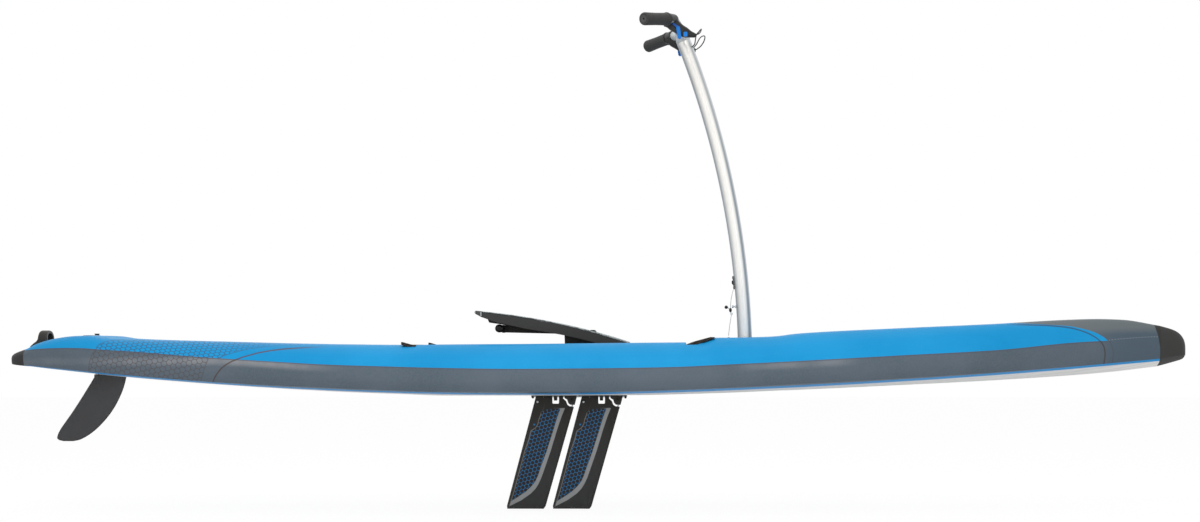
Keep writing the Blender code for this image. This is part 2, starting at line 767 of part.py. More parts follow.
def add_drive_spine():
    """The drive's frame: a web in the well, a head between the cranks and lugs for the fin shaft."""
    rear = WELL_REAR_X + LINER_WALL + SLIDING
    front = WELL_FRONT_X - LINER_WALL - SLIDING
    web = [
        (rear + 0.004, SPINE_UNDERSIDE),
        (front - 0.004, SPINE_UNDERSIDE),
        (front - 0.004, 0.060),
        (0.400, 0.100),
        (0.410, 0.112),
        (front, 0.113),
        (front, TONGUE_TOP),
        (rear, TONGUE_TOP),
        (rear, 0.113),
        (0.190, 0.112),
        (0.200, 0.100),
        (rear + 0.004, 0.060),
    ]
    spine = prism("drive_spine", web, -SPINE_WEB_HALF, SPINE_WEB_HALF, "black")
    head = [
        (SPINE_HEAD_REAR_X, SPINE_HEAD_FLOOR),
        (SPINE_HEAD_FRONT_X, SPINE_HEAD_FLOOR),
        (SPINE_HEAD_FRONT_X, SPINE_HEAD_TOP - 0.004),
        (SPINE_HEAD_FRONT_X - 0.004, SPINE_HEAD_TOP),
        (SPINE_HEAD_FRONT_X - 0.016, SPINE_HEAD_TOP),
        (SPINE_HEAD_FRONT_X - 0.020, SPINE_HEAD_TOP - 0.006),
        (SPINE_HEAD_REAR_X + 0.006, SPINE_HEAD_TOP - 0.006),
        (SPINE_HEAD_REAR_X, SPINE_HEAD_TOP - 0.012),
    ]
    fuse(spine, prism("part_spine_head", head, -SPINE_HEAD_HALF, SPINE_HEAD_HALF))
    idler_floor = IDLER_Z - 0.0045
    shelf = box(
        "part_idler_shelf", (SPINE_HEAD_FRONT_X - 0.002, -0.010, idler_floor - 0.006), (IDLER_X + 0.007, 0.010, idler_floor)
    )
    post = rod("part_idler_post", (IDLER_X, 0, idler_floor - 0.003), (IDLER_X, 0, IDLER_Z + 0.0065), 0.004)
    fuse(spine, shelf, post)
    ends = (("shaft_rear", rear + 0.0045, 0.006), ("shaft_front", front - 0.0105, 0.006))
    lugs = [(name, x, width, FIN_SLEEVE_RADIUS + 0.001) for name, x, width in ends]
    for name, start in fin_starts():
        lugs.append(("fin_" + name, start + FIN_LUG_AT - FIN_LUG_WIDTH / 2, FIN_LUG_WIDTH, FIN_LUG_RADIUS))
    for name, x, width, radius in lugs:
        outline = disc_outline(0, FIN_AXIS_Z, radius, 180, 360, 10)
        outline += [(radius, SPINE_UNDERSIDE + 0.004), (-radius, SPINE_UNDERSIDE + 0.004)]
        rings = [[(at, y, z) for y, z in outline] for at in (x, x + width)]
        fuse(spine, loft("part_lug_" + name, rings))
    shaft_bore = rod(
        "cutter_fin_shaft", (rear, 0, FIN_AXIS_Z), (front, 0, FIN_AXIS_Z), FIN_SHAFT_RADIUS + RUNNING
    )
    spindle_bore = rod(
        "cutter_spindle", (CRANK_X, -0.05, CRANK_Z), (CRANK_X, 0.05, CRANK_Z), SPINDLE_RADIUS + RUNNING
    )
    cut(spine, shaft_bore, spindle_bore)
    rod(
        "fin_shaft",
        (rear + 0.0025, 0, FIN_AXIS_Z),
        (front - 0.0025, 0, FIN_AXIS_Z),
        FIN_SHAFT_RADIUS,
        "steel",
    )
    cap_in = CRANK_OUTER + GAP
    cap_out = cap_in + 0.0035
    total = 2 * cap_out
    shares = [(cap_out - at) / total for at in (cap_out, cap_out - 0.001, cap_in, cap_in - 1e-5)]
    profile = [
        (shares[0], SPINDLE_CAP_RADIUS - 0.002),
        (shares[1], SPINDLE_CAP_RADIUS),
        (shares[2], SPINDLE_CAP_RADIUS),
        (shares[3], SPINDLE_RADIUS),
    ]
    profile += [(1 - share, radius) for share, radius in reversed(profile)]
    turned(
        "crank_spindle", (CRANK_X, -cap_out, CRANK_Z), (CRANK_X, cap_out, CRANK_Z), profile, "steel", sides=24
    )


def add_idler():
    add_pivot("idler", (IDLER_X, 0, IDLER_Z))
    low, high = (IDLER_X, 0, IDLER_Z - 0.004), (IDLER_X, 0, IDLER_Z + 0.004)
    profile = (
        (0, IDLER_RADIUS - 0.001),
        (0.12, IDLER_RADIUS),
        (0.25, IDLER_RADIUS),
        (0.5, IDLER_RADIUS - 0.003),
        (0.75, IDLER_RADIUS),
        (0.88, IDLER_RADIUS),
        (1, IDLER_RADIUS - 0.001),
    )
    idler = turned("idler_pulley", low, high, profile, "charcoal", "idler", sides=28)
    bore = rod("cutter_idler", (IDLER_X, 0, IDLER_Z - 0.02), (IDLER_X, 0, IDLER_Z + 0.02), 0.004 + RUNNING)
    cut(idler, bore)


def add_cranks():
    """Each crank: a root plate on the spindle, an arm reaching aft, and a fixed pin for its roller."""
    for side, way in SIDES:
        pivot = "crank_" + side
        add_pivot(pivot, (CRANK_X, 0, CRANK_Z))
        outline = disc_outline(ROLLER_X, ROLLER_Z, 0.0115, 92, 268, 8)
        outline += [
            (0.245, 0.1905),
            (0.2475, 0.120),
            (0.256, 0.1125),
            (0.333, 0.1125),
            (0.341, 0.120),
            (0.341, 0.184),
            (0.333, 0.1915),
            (0.280, 0.2055),
            (0.262, 0.2085),
        ]
        low, high = sorted((way * CRANK_INNER, way * CRANK_OUTER))
        crank = prism("crank_arm_" + side, outline, low, high, "black", pivot)
        pin = rod(
            "part_roller_pin_" + side,
            (ROLLER_X, way * (CRANK_OUTER - 0.006), ROLLER_Z),
            (ROLLER_X, way * (ROLLER_OUTER + 0.0035), ROLLER_Z),
            ROLLER_PIN_RADIUS,
        )
        drum = rod(
            "part_chain_drum_" + side,
            (CRANK_X, way * (SPINE_HEAD_HALF + SLIDING), CRANK_Z),
            (CRANK_X, way * (CRANK_INNER + 0.002), CRANK_Z),
            0.028,
            sides=28,
        )
        bolt = rod(
            "part_crank_bolt_" + side,
            (0.2655, way * (CRANK_OUTER - 0.002), 0.152),
            (0.2655, way * (CRANK_OUTER + 0.0025), 0.152),
            0.005,
            sides=12,
        )
        fuse(crank, pin, drum, bolt)
        bore = rod(
            "cutter_crank_" + side,
            (CRANK_X, way * 0.02, CRANK_Z),
            (CRANK_X, way * 0.06, CRANK_Z),
            SPINDLE_RADIUS + RUNNING,
        )
        cut(crank, bore)
        add_roller(side, way)


def add_roller(side, way):
    pivot = "roller_" + side
    add_pivot(pivot, (ROLLER_X, way * ROLLER_INNER, ROLLER_Z))
    profile = ((0, ROLLER_RADIUS - 0.001), (0.06, ROLLER_RADIUS), (0.94, ROLLER_RADIUS), (1, ROLLER_RADIUS - 0.001))
    start = (ROLLER_X, way * ROLLER_INNER, ROLLER_Z)
    end = (ROLLER_X, way * ROLLER_OUTER, ROLLER_Z)
    roller = turned("roller_" + side, start, end, profile, "charcoal", pivot, sides=24)
    bore = rod(
        "cutter_roller_" + side,
        (ROLLER_X, way * 0.05, ROLLER_Z),
        (ROLLER_X, way * 0.10, ROLLER_Z),
        ROLLER_PIN_RADIUS + RUNNING,
    )
    cut(roller, bore)


def foot_top(x):
    """Height of a pedal pad's walking surface at x, on its long arc."""
    return FOOT_ARC_Z + math.sqrt(FOOT_ARC_RADIUS**2 - (x - FOOT_ARC_X) ** 2)


def add_foot_pads():
    for side, way in SIDES:
        pivot = "foot_" + side
        add_pivot(pivot, (FOOT_HINGE_X, 0, FOOT_HINGE_Z))
        add_foot_pad(side, way, pivot)
        add_foot_grip(side, way, pivot)
        add_foot_end(side, way, pivot)
        add_foot_hinge(side, way)


def add_foot_pad(side, way, pivot):
    rings = []
    for x, depth in FOOT_DEPTHS:
        top = foot_top(x) - FOOT_GRIP_THICKNESS - GAP
        low = top - depth
        inside = top - min(FOOT_WALL, depth * 0.55)
        a, b = way * FOOT_INNER, way * FOOT_OUTER
        c, d = way * (FOOT_OUTER - FOOT_WALL), way * (FOOT_INNER + FOOT_WALL)
        section = ((a, low), (a, top), (b, top), (b, low), (c, low), (c, inside), (d, inside), (d, low))
        rings.append([(x, y, z) for y, z in section])
    pad = loft("foot_pad_" + side, rings, "charcoal", pivot)
    slope = (ROLLER_Z - FOOT_HINGE_Z) / (FOOT_HINGE_X - ROLLER_X)
    lift = (ROLLER_RADIUS + SLIDING) * math.hypot(1, slope)
    track = []
    for x in (0.0163, 0.108):
        track.append((x, ROLLER_Z + lift - slope * (x - ROLLER_X)))
    for x in (0.108, 0.075, 0.045, 0.005):
        track.append((x, foot_top(x) - FOOT_GRIP_THICKNESS - FOOT_WALL + 0.002))
    low, high = sorted((way * (ROLLER_INNER - 0.002), way * (ROLLER_OUTER + 0.002)))
    knuckle = rod(
        "part_knuckle_" + side,
        (FOOT_HINGE_X, way * 0.0680, FOOT_HINGE_Z),
        (FOOT_HINGE_X, way * 0.1660, FOOT_HINGE_Z),
        FOOT_KNUCKLE_RADIUS,
    )
    front = foot_top(FOOT_FRONT_X) - FOOT_GRIP_THICKNESS
    neck = [
        (FOOT_FRONT_X - 0.008, front - 0.0015),
        (FOOT_FRONT_X - 0.008, front - 0.0085),
        (FOOT_HINGE_X, FOOT_HINGE_Z - 0.004),
        (FOOT_HINGE_X, FOOT_HINGE_Z + FOOT_KNUCKLE_RADIUS - 0.0015),
    ]
    neck_low, neck_high = sorted((way * 0.0685, way * 0.1655))
    fuse(
        pad,
        prism("part_track_" + side, track, low, high),
        prism("part_neck_" + side, neck, neck_low, neck_high),
        knuckle,
    )
    bore = rod(
        "cutter_foot_pin_" + side,
        (FOOT_HINGE_X, way * 0.05, FOOT_HINGE_Z),
        (FOOT_HINGE_X, way * 0.19, FOOT_HINGE_Z),
        FOOT_PIN_RADIUS + RUNNING,
    )
    cut(pad, bore)


def add_foot_grip(side, way, pivot):
    """The foam tread, with shallow grooves across it."""
    start, end = FOOT_CAP_X, FOOT_FRONT_X
    pitch, groove, depth = 0.0200, 0.0030, 0.0012
    upper = []
    x = start
    while x < end - pitch:
        upper += [(x, 0), (x + pitch - groove, 0), (x + pitch - groove * 0.7, depth), (x + pitch - groove * 0.3, depth)]
        x += pitch
    upper += [(x, 0), (end, 0)]
    outline = [(x, foot_top(x) - drop) for x, drop in upper]
    lower_xs = [start + (end - start) * k / 12 for k in range(13)]
    outline += [(x, foot_top(x) - FOOT_GRIP_THICKNESS) for x in reversed(lower_xs)]
    low, high = sorted((way * (FOOT_INNER + 0.002), way * (FOOT_OUTER - 0.002)))
    prism("foot_grip_" + side, outline, low, high, "foam", pivot)


def add_foot_end(side, way, pivot):
    """The rounded metal cap at a pedal pad's rear end."""
    rear, front = FOOT_REAR_X, FOOT_CAP_X - GAP
    top_front = foot_top(front)
    low_front = top_front - FOOT_GRIP_THICKNESS - GAP - FOOT_DEPTHS[0][1]
    outline = [
        (front, low_front),
        (front, top_front),
        (rear + 0.006, foot_top(rear + 0.006) + 0.0002),
        (rear + 0.002, foot_top(rear) - 0.0015),
        (rear, foot_top(rear) - 0.0045),
        (rear + 0.0008, foot_top(rear) - 0.0080),
        (rear + 0.004, foot_top(rear) - 0.0105),
    ]
    low, high = sorted((way * FOOT_INNER, way * FOOT_OUTER))
    prism("foot_end_cap_" + side, outline, low, high, "grey", pivot)


def add_foot_hinge(side, way):
    """A deck bracket with two ears and the pin that a pedal pad turns on."""
    floor = RECESS_FLOOR + GAP
    low, high = sorted((way * 0.0560, way * 0.1780))
    base = box(
        "pedal_hinge_" + side,
        (FOOT_HINGE_X - 0.0125, low, floor),
        (FOOT_HINGE_X + 0.0125, high, floor + 0.003),
        "steel",
    )
    ears = []
    for number, (start, end) in enumerate(((0.0575, 0.0650), (0.1690, 0.1765))):
        outline = [(FOOT_HINGE_X + 0.0085, floor + 0.001)]
        outline += disc_outline(FOOT_HINGE_X, FOOT_HINGE_Z, 0.0085, 0, 180, 10)
        outline.append((FOOT_HINGE_X - 0.0085, floor + 0.001))
        ear_low, ear_high = sorted((way * start, way * end))
        ears.append(prism(f"part_ear_{side}_{number}", outline, ear_low, ear_high))
    pin = rod(
        "part_hinge_pin_" + side,
        (FOOT_HINGE_X, way * 0.0560, FOOT_HINGE_Z),
        (FOOT_HINGE_X, way * 0.1780, FOOT_HINGE_Z),
        FOOT_PIN_RADIUS,
    )
    fuse(base, *ears, pin)


def add_fins():
    for name, start in fin_starts():
        pivot = "fin_" + name
        add_pivot(pivot, (start + FIN_TOP_CHORD / 2, 0, FIN_AXIS_Z))
        add_fin_blade(name, start, pivot)
        add_fin_sprocket(name, start, pivot)
        add_fin_mast(name, start, pivot)
        screw = fin_clew(start)
        turned(
            "clew_screw_" + name,
            (screw[0], -0.0042, screw[1]),
            (screw[0], 0.0042, screw[1]),
            ((0, 0.0024), (0.1, 0.0034), (0.24, 0.0034), (0.25, 0.0018), (0.75, 0.0018), (0.76, 0.0034), (0.9, 0.0034), (1, 0.0024)),
            "steel",
            pivot,
            sides=12,
        )


def fin_clew(start):
    return start + 0.0060, -0.0212


def fin_edges(start, drop):
    """The trailing and leading edge x of a fin at a share of its span below its top."""
    trail = start - FIN_TRAIL_RAKE * drop
    chord = FIN_TOP_CHORD + (FIN_TIP_CHORD - FIN_TOP_CHORD) * drop
    return trail, trail + chord


def fin_lead_at(start, z):
    return fin_edges(start, (FIN_TOP_Z - z) / FIN_SPAN)[1]


def add_fin_blade(name, start, pivot):
    rings = []
    for drop in (0.0, 0.15, 0.35, 0.55, 0.75, 0.90, 0.975, 1.0):
        trail, lead = fin_edges(start, drop)
        z = FIN_TOP_Z - FIN_SPAN * drop
        thin = 1 - 0.45 * drop
        tuck = 0.004 if drop == 1.0 else 0.0
        half = FIN_LEAD_HALF * (1 - 0.20 * drop)
        section = (
            (trail + tuck, 0.0010 * thin),
            (trail + 0.030, 0.0019 * thin),
            (trail + 0.070, 0.0027 * thin),
            (lead - 0.020, 0.0038 * (1 - 0.3 * drop)),
            (lead - 0.012, half),
            (lead - 0.004, half * 0.85),
            (lead - tuck, half * 0.20),
        )
        ring = [(x, y, z) for x, y in section] + [(x, -y, z) for x, y in reversed(section)]
        rings.append(ring)
    blade = loft("fin_blade_" + name, rings, "black", pivot)
    sleeve = rod(
        "part_fin_sleeve_" + name,
        (start + 0.0010, 0, FIN_AXIS_Z),
        (start + FIN_WINDOW[1] + 0.0125, 0, FIN_AXIS_Z),
        FIN_SLEEVE_RADIUS,
        sides=16,
    )
    fuse(blade, sleeve)
    window = prism(
        "cutter_window_" + name,
        [
            (start + FIN_WINDOW[0], 0.02),
            (start + FIN_WINDOW[0] + 0.0008, -0.0250),
            (start + FIN_WINDOW[0] + 0.0025, -0.0270),
            (start + FIN_WINDOW[1] - 0.0025, -0.0270),
            (start + FIN_WINDOW[1] - 0.0008, -0.0250),
            (start + FIN_WINDOW[1], 0.02),
        ],
        -0.02,
        0.02,
    )
    slot = prism(
        "cutter_slot_" + name,
        [
            (start + 0.0855, 0.02),
            (start + 0.0855, -0.0110),
            (start + 0.0945, -0.0190),
            (start + 0.0985, -0.0300),
            (start + 0.1050, -0.0350),
            (start + 0.1300, -0.0385),
            (start + 0.1400, 0.02),
        ],
        -0.02,
        0.02,
    )
    shaft = rod(
        "cutter_blade_shaft_" + name,
        (start - 0.01, 0, FIN_AXIS_Z),
        (start + 0.14, 0, FIN_AXIS_Z),
        FIN_SHAFT_RADIUS + RUNNING,
    )
    clew = fin_clew(start)
    screw = rod("cutter_clew_" + name, (clew[0], -0.01, clew[1]), (clew[0], 0.01, clew[1]), 0.0021, sides=12)
    top, bottom = fin_mast_ends(start)
    bore = rod("cutter_mast_bore_" + name, top, bottom + (bottom - top) * 0.004, FIN_MAST_RADIUS + GAP, sides=14)
    cut(blade, window, slot, shaft, screw, bore)


def fin_mast_ends(start):
    """The ends of a fin's steel mast, which lies just inside the leading edge."""
    ends = []
    for z in (-0.0180, -0.3250):
        ends.append(Vector((fin_lead_at(start, z) - FIN_MAST_INSET, 0, z)))
    return ends


def add_fin_mast(name, start, pivot):
    top, bottom = fin_mast_ends(start)
    rod("fin_mast_" + name, top, bottom, FIN_MAST_RADIUS, "steel", pivot, sides=14)


def add_fin_sprocket(name, start, pivot):
    """A toothed wheel on the fin shaft with the block that holds the fin's mast."""
    block = [
        (start + 0.0905, FIN_AXIS_Z + 0.0060),
        (start + 0.1270, FIN_AXIS_Z + 0.0060),
        (start + 0.1275, -0.0070),
        (start + 0.1215, -0.0305),
        (start + 0.1070, -0.0300),
        (start + 0.1015, -0.0240),
        (start + 0.0985, -0.0140),
        (start + 0.0905, -0.0100),
    ]
    carrier = prism("fin_sprocket_" + name, block, -0.0085, 0.0085, "black", pivot)
    teeth = []
    for k in range(SPROCKET_TEETH * 4):
        turn = math.tau * k / (SPROCKET_TEETH * 4)
        radius = SPROCKET_RADIUS if k % 4 < 2 else SPROCKET_RADIUS - 0.0025
        teeth.append((radius * math.sin(turn), FIN_AXIS_Z + radius * math.cos(turn)))
    middle = start + 0.1130
    rings = [[(x, y, z) for y, z in teeth] for x in (middle - 0.0030, middle + 0.0030)]
    wheel = loft("part_wheel_" + name, rings)
    fuse(carrier, wheel)
    shaft = rod(
        "cutter_sprocket_shaft_" + name,
        (start + 0.05, 0, FIN_AXIS_Z),
        (start + 0.15, 0, FIN_AXIS_Z),
        FIN_SHAFT_RADIUS + RUNNING,
    )
    top, bottom = fin_mast_ends(start)
    bore = rod("cutter_mast_seat_" + name, top + (top - bottom) * 0.001, bottom, FIN_MAST_RADIUS + GAP, sides=14)
    cut(carrier, shaft, bore)


def rudder_deck():
    return deck_height(RUDDER_X) - 0.0006


def add_rudder():
    add_pivot("rudder", (RUDDER_X, 0, 0))
    rings = []
    for z, trail, lead, half in RUDDER_ROWS:
        chord = lead - trail
        section = (
            (trail, 0.0008),
            (trail + 0.10 * chord, half * 0.62),
            (trail + 0.35 * chord, half * 0.95),
            (trail + 0.62 * chord, half),
            (trail + 0.84 * chord, half * 0.72),
            (trail + 0.96 * chord, half * 0.36),
            (lead, half * 0.06),
        )
        ring = [(x, y, z) for x, y in section] + [(x, -y, z) for x, y in reversed(section)]
        if not rings:
            ring = [(x, y, z - RUDDER_TOP_RISE * (x - (trail + lead) / 2)) for x, y, _ in ring]
        rings.append(ring)
    blade = loft("rudder_blade", rings, "charcoal", "rudder")
    boss = rod("part_rudder_boss", (RUDDER_X, 0, 0.022), (RUDDER_X, 0, 0.0640), 0.0085, sides=24)
    fuse(blade, boss)
    bore = rod("cutter_rudder_bore", (RUDDER_X, 0, 0.0300), (RUDDER_X, 0, 0.1), RUDDER_STOCK_RADIUS + GAP)
    cut(blade, bore)
    deck = rudder_deck()
    rod("rudder_stock", (RUDDER_X, 0, 0.0305), (RUDDER_X, 0, deck + 0.0050), RUDDER_STOCK_RADIUS, "steel", "rudder")
    bore_radius = RUDDER_STOCK_RADIUS + RUNNING
    tube_low = half_section(RUDDER_X)[0][1] + 0.0005
    bearing = turned(
        "rudder_tube",
        (RUDDER_X, 0, tube_low),
        (RUDDER_X, 0, deck),
        (
            (0, bore_radius + RUDDER_TUBE_WALL),
            (1 - RUDDER_FLANGE_THICKNESS / (deck - tube_low), bore_radius + RUDDER_TUBE_WALL),
            (1.0001 - RUDDER_FLANGE_THICKNESS / (deck - tube_low), RUDDER_FLANGE_RADIUS),
            (1, RUDDER_FLANGE_RADIUS),
        ),
        "charcoal",
    )
    cut(bearing, rod("cutter_rudder_bearing", (RUDDER_X, 0, 0), (RUDDER_X, 0, 0.3), bore_radius))
    add_rudder_head(deck)


def add_rudder_head(deck):
    """The steel yoke that turns the stock, and the knob that holds it down."""
    low = deck + SLIDING
    thick = 0.0020
    arm_outline = disc_outline(RUDDER_X, 0, 0.0100, -110, 110, 10)
    arm_outline += [
        (RUDDER_X - 0.026, 0.0050),
        (RUDDER_X - 0.026, 0.0260),
        (RUDDER_X - 0.035, 0.0260),
        (RUDDER_X - 0.035, -0.0260),
        (RUDDER_X - 0.026, -0.0260),
        (RUDDER_X - 0.026, -0.0050),
    ]
    arm = prism("rudder_yoke", arm_outline, low, low + thick, "steel", "rudder", axis="Z")
    cutters = [rod("cutter_yoke_bore", (RUDDER_X, 0, low - 0.01), (RUDDER_X, 0, low + 0.01), RUDDER_STOCK_RADIUS + GAP)]
    for side, way in SIDES:
        place = (RUDDER_X - 0.0305, way * 0.0215)
        cutters.append(
            rod("cutter_yoke_" + side, (*place, low - 0.01), (*place, low + 0.01), 0.0018, sides=10)
        )
    cut(arm, *cutters)
    base = low + thick + GAP
    knob = turned(
        "rudder_knob",
        (RUDDER_X, 0, base),
        (RUDDER_X, 0, base + 0.0046),
        ((0, 0.0062), (0.2, 0.0060), (0.5, 0.0078), (0.8, 0.0080), (1, 0.0072)),
        "black",
        "rudder",
        sides=16,
    )
    bore_top = deck + 0.0050 + GAP
    cut(knob, rod("cutter_knob", (RUDDER_X, 0, base - 0.01), (RUDDER_X, 0, bore_top), RUDDER_STOCK_RADIUS + GAP))


def add_tail_handle():
    """A moulded grab handle: an arch across the tail on two feet joined by a plate on the sloping deck."""
    middle = HANDLE_X
    base = [(x, deck_height(max(x, OFFSETS[0][0]), 0.03) + 0.0008) for x in (-1.3560, -1.3720, -1.3860, -1.3990)]
    plate = base + [(x, z + 0.0035) for x, z in reversed(base)]
    handle = prism("tail_handle", plate, -HANDLE_HALF, HANDLE_HALF, "black")
    foot = base + [(-1.4085, 0.1478), (-1.4100, 0.1508), (-1.4000, 0.1600), (-1.3905, 0.1672), (-1.3870, 0.1730)]
    foot.append((-1.3640, 0.1740))
    for side, way in SIDES:
        low, high = sorted((way * (HANDLE_HALF - 0.010), way * HANDLE_HALF))
        fuse(handle, prism("part_handle_foot_" + side, foot, low, high))
    rings = []
    steps = 12
    foot_z = 0.166
    for k in range(steps + 1):
        turn = math.pi * k / steps
        lift = math.sin(turn)
        across = -math.cos(turn)
        outer = (HANDLE_HALF * math.copysign(abs(across) ** 0.8, across), foot_z + (HANDLE_TOP - foot_z) * lift**0.8)
        inner_half = HANDLE_HALF - 0.010
        inner = (
            inner_half * math.copysign(abs(across) ** 0.8, across),
            foot_z + (HANDLE_TOP - 0.009 - foot_z) * lift**0.8,
        )
        half = 0.0148 - 0.0020 * lift
        y0, z0 = outer
        y1, z1 = inner
        rings.append(
            [
                (middle - half, y1, z1),
                (middle - half, y0 * 0.97 + y1 * 0.03, z0 * 0.8 + z1 * 0.2),
                (middle - half * 0.6, y0, z0),
                (middle + half * 0.6, y0, z0),
                (middle + half, y0 * 0.97 + y1 * 0.03, z0 * 0.8 + z1 * 0.2),
                (middle + half, y1, z1),
            ]
        )
    fuse(handle, loft("part_handle_arch", rings))


def mast_x(z):
    """The mast's centreline: upright at its foot, then a long arc leaning aft."""
    rise = max(z - MAST_LEVEL_Z, 0.0)
    return MAST_FOOT_X + math.sqrt(MAST_BEND_RADIUS**2 - rise**2) - MAST_BEND_RADIUS


def mast_ring(z, radius, sides=20):
    """A ring square to the mast's line, at the height z on that line."""
    lean = math.asin(max(z - MAST_LEVEL_Z, 0.0) / MAST_BEND_RADIUS)
    ahead = Vector((math.cos(lean), 0, math.sin(lean)))
    centre = Vector((mast_x(z), 0, z))
    turns = [math.tau * k / sides for k in range(sides)]
    return [centre + Vector((0, radius * math.cos(a), 0)) + ahead * (radius * math.sin(a)) for a in turns]


def add_mast():
    steps = 11
    levels = [MAST_BOTTOM_Z, MAST_LEVEL_Z]
    levels += [0.14 + (MAST_TOP_Z - 0.14) * k / steps for k in range(steps + 1)]
    outer = [mast_ring(z, MAST_RADIUS) for z in levels]
    inner = [mast_ring(z, MAST_BORE) for z in levels]
    mast = pipe("mast_tube", outer, inner, "aluminium")
    holes = []
    for side, way in SIDES:
        start, end = Vector(CABLE_ROUTES[side][-3]), Vector(CABLE_ROUTES[side][-2])
        start.y *= way
        end.y *= way
        ahead = (end - start).normalized() * 0.004
        holes.append(
            rod("cutter_cable_hole_" + side, start - ahead, end + ahead, CABLE_RADIUS + SLIDING, sides=12)
        )
    cut(mast, *holes)
    add_mast_base()
    add_mast_head()


def add_mast_base():
    """The socket that the mast stands in, hung from a plate in a pocket of the foredeck."""
    outline = rounded(
        DECK_POCKET_REAR_X + SLIDING,
        -DECK_POCKET_HALF + SLIDING,
        DECK_POCKET_FRONT_X - SLIDING,
        DECK_POCKET_HALF - SLIDING,
        0.0135,
    )
    low = DECK_POCKET_Z + GAP
    base = prism("mast_base", outline, low, low + SOCKET_PLATE_THICKNESS, "black", axis="Z")
    bottom = SOCKET_FLOOR_Z - SOCKET_WALL
    barrel = rod(
        "part_socket",
        (MAST_FOOT_X, 0, bottom),
        (MAST_FOOT_X, 0, low + 0.001),
        MAST_RADIUS + GAP + SOCKET_WALL,
        sides=24,
    )
    fuse(base, barrel)
    levels = (SOCKET_FLOOR_Z, MAST_LEVEL_Z, 0.12, 0.15, 0.18)
    cut(base, loft("cutter_socket_bore", [mast_ring(z, MAST_RADIUS + GAP) for z in levels]))
    eye_x = 0.7533
    top = low + SOCKET_PLATE_THICKNESS + GAP
    outer = disc_outline(0, top + 0.003, 0.0055, 0, 180, 8)
    staple = [(-0.0055, top), (-0.0095, top), (-0.0095, top + 0.0015), (-0.0055, top + 0.0015)]
    ring = [(0.0055, top + 0.0015), (0.0095, top + 0.0015), (0.0095, top), (0.0055, top)] + [(0.0035, top)]
    inner = disc_outline(0, top + 0.003, 0.0035, 0, 180, 8)
    outline = ring + inner + [(-0.0035, top)] + staple + outer[::-1]
    rings = [[(x, y, z) for y, z in outline] for x in (eye_x - 0.003, eye_x + 0.003)]
    loft("lanyard_eye", rings, "steel")


def add_mast_head():
    """The cast head: a hollow spigot in the mast, a neck and a sleeve round the handlebar."""
    bar = Vector(BAR_ROUTE[0])
    sleeve = rod(
        "mast_head", bar + Vector((0, -0.030, 0)), bar + Vector((0, 0.030, 0)), BAR_RADIUS + 0.0045, "grey", sides=24
    )
    top = MAST_TOP_Z
    spigot = loft("part_spigot", [mast_ring(z, MAST_BORE - GAP) for z in (top - 0.032, top - 0.015, top + 0.002)])
    collar = loft("part_collar", [mast_ring(z, MAST_RADIUS) for z in (top + GAP, top + 0.010)])
    neck_rings = [mast_ring(top + 0.008, 0.0205)]
    foot = Vector((mast_x(top + 0.008), 0, top + 0.008))
    for share, radius in ((0.35, 0.0190), (0.7, 0.0165), (1.0, 0.0150)):
        lean = math.asin((top - MAST_LEVEL_Z) / MAST_BEND_RADIUS) * (1 - share)
        ahead = Vector((math.cos(lean), 0, math.sin(lean)))
        turns = [math.tau * k / 20 for k in range(20)]
        centre = foot.lerp(bar, share)
        neck_rings.append(
            [centre + Vector((0, radius * math.cos(a), 0)) + ahead * (radius * math.sin(a)) for a in turns]
        )
    neck = loft("part_neck", neck_rings)
    fuse(sleeve, collar, neck, spigot)
    bore = loft("cutter_bar_bore", bar_rings(BAR_RADIUS + GAP, 0.075, 1))
    hollow = loft("cutter_spigot_bore", [mast_ring(z, 0.0150) for z in (top - 0.04, top - 0.003)])
    slot = box("cutter_cable_slot", (mast_x(top) - 0.002, -0.0155, top - 0.04), (0.70, 0.0155, top - 0.0065))
    cut(sleeve, bore, hollow, slot)


def bar_rings(radius, reach=None, way=0, sides=14):
    """Rings along the handlebar: all of it, or a bore's worth on one side or within a reach of the centre.

    A bore runs on past the bar's end by one gap.
    """
    port = [Vector(p) for p in BAR_ROUTE]
    starboard = [Vector((p.x, -p.y, p.z)) for p in reversed(port[1:])]
    route = smooth_route(starboard + port, 2)
    route.insert(0, route[0] + (route[0] - route[1]).normalized() * GAP)
    route.append(route[-1] + (route[-1] - route[-2]).normalized() * GAP)
    rings = swept_rings(route, radius, sides)
    if reach is None:
        return rings[1:-1]
    if way == 1 and reach > 0.06:
        return [ring for place, ring in zip(route, rings) if abs(place.y) < reach]
    return [ring for place, ring in zip(route, rings) if place.y * way > reach]


def add_handlebar():
    loft("handlebar", bar_rings(BAR_RADIUS), "aluminium")
    for side, way in SIDES:
        inner = Vector((GRIP_INNER[0], way * GRIP_INNER[1], GRIP_INNER[2]))
        outer = Vector((GRIP_OUTER[0], way * GRIP_OUTER[1], GRIP_OUTER[2]))
        grip = turned(
            "grip_" + side,
            inner,
            outer,
            (
                (0, GRIP_RADIUS + 0.0012),
                (0.03, GRIP_RADIUS + 0.0020),
                (0.06, GRIP_RADIUS + 0.0010),
                (0.10, GRIP_RADIUS),
                (0.5, GRIP_RADIUS - 0.0006),
                (0.93, GRIP_RADIUS + 0.0004),
                (0.98, GRIP_RADIUS - 0.0006),
                (1, GRIP_RADIUS - 0.0030),
            ),
            "black",
            sides=24,
        )
        along = (outer - inner).normalized()
        bore = loft("cutter_grip_bore_" + side, bar_rings(BAR_RADIUS + GAP, 0.05, way))
        dimple = rod("cutter_grip_hole_" + side, outer - along * 0.004, outer + along * 0.004, 0.0022, sides=12)
        cut(grip, bore, dimple)
        add_hood(side, way)
        add_steering_lever(side, way)
        add_cable(side, way)


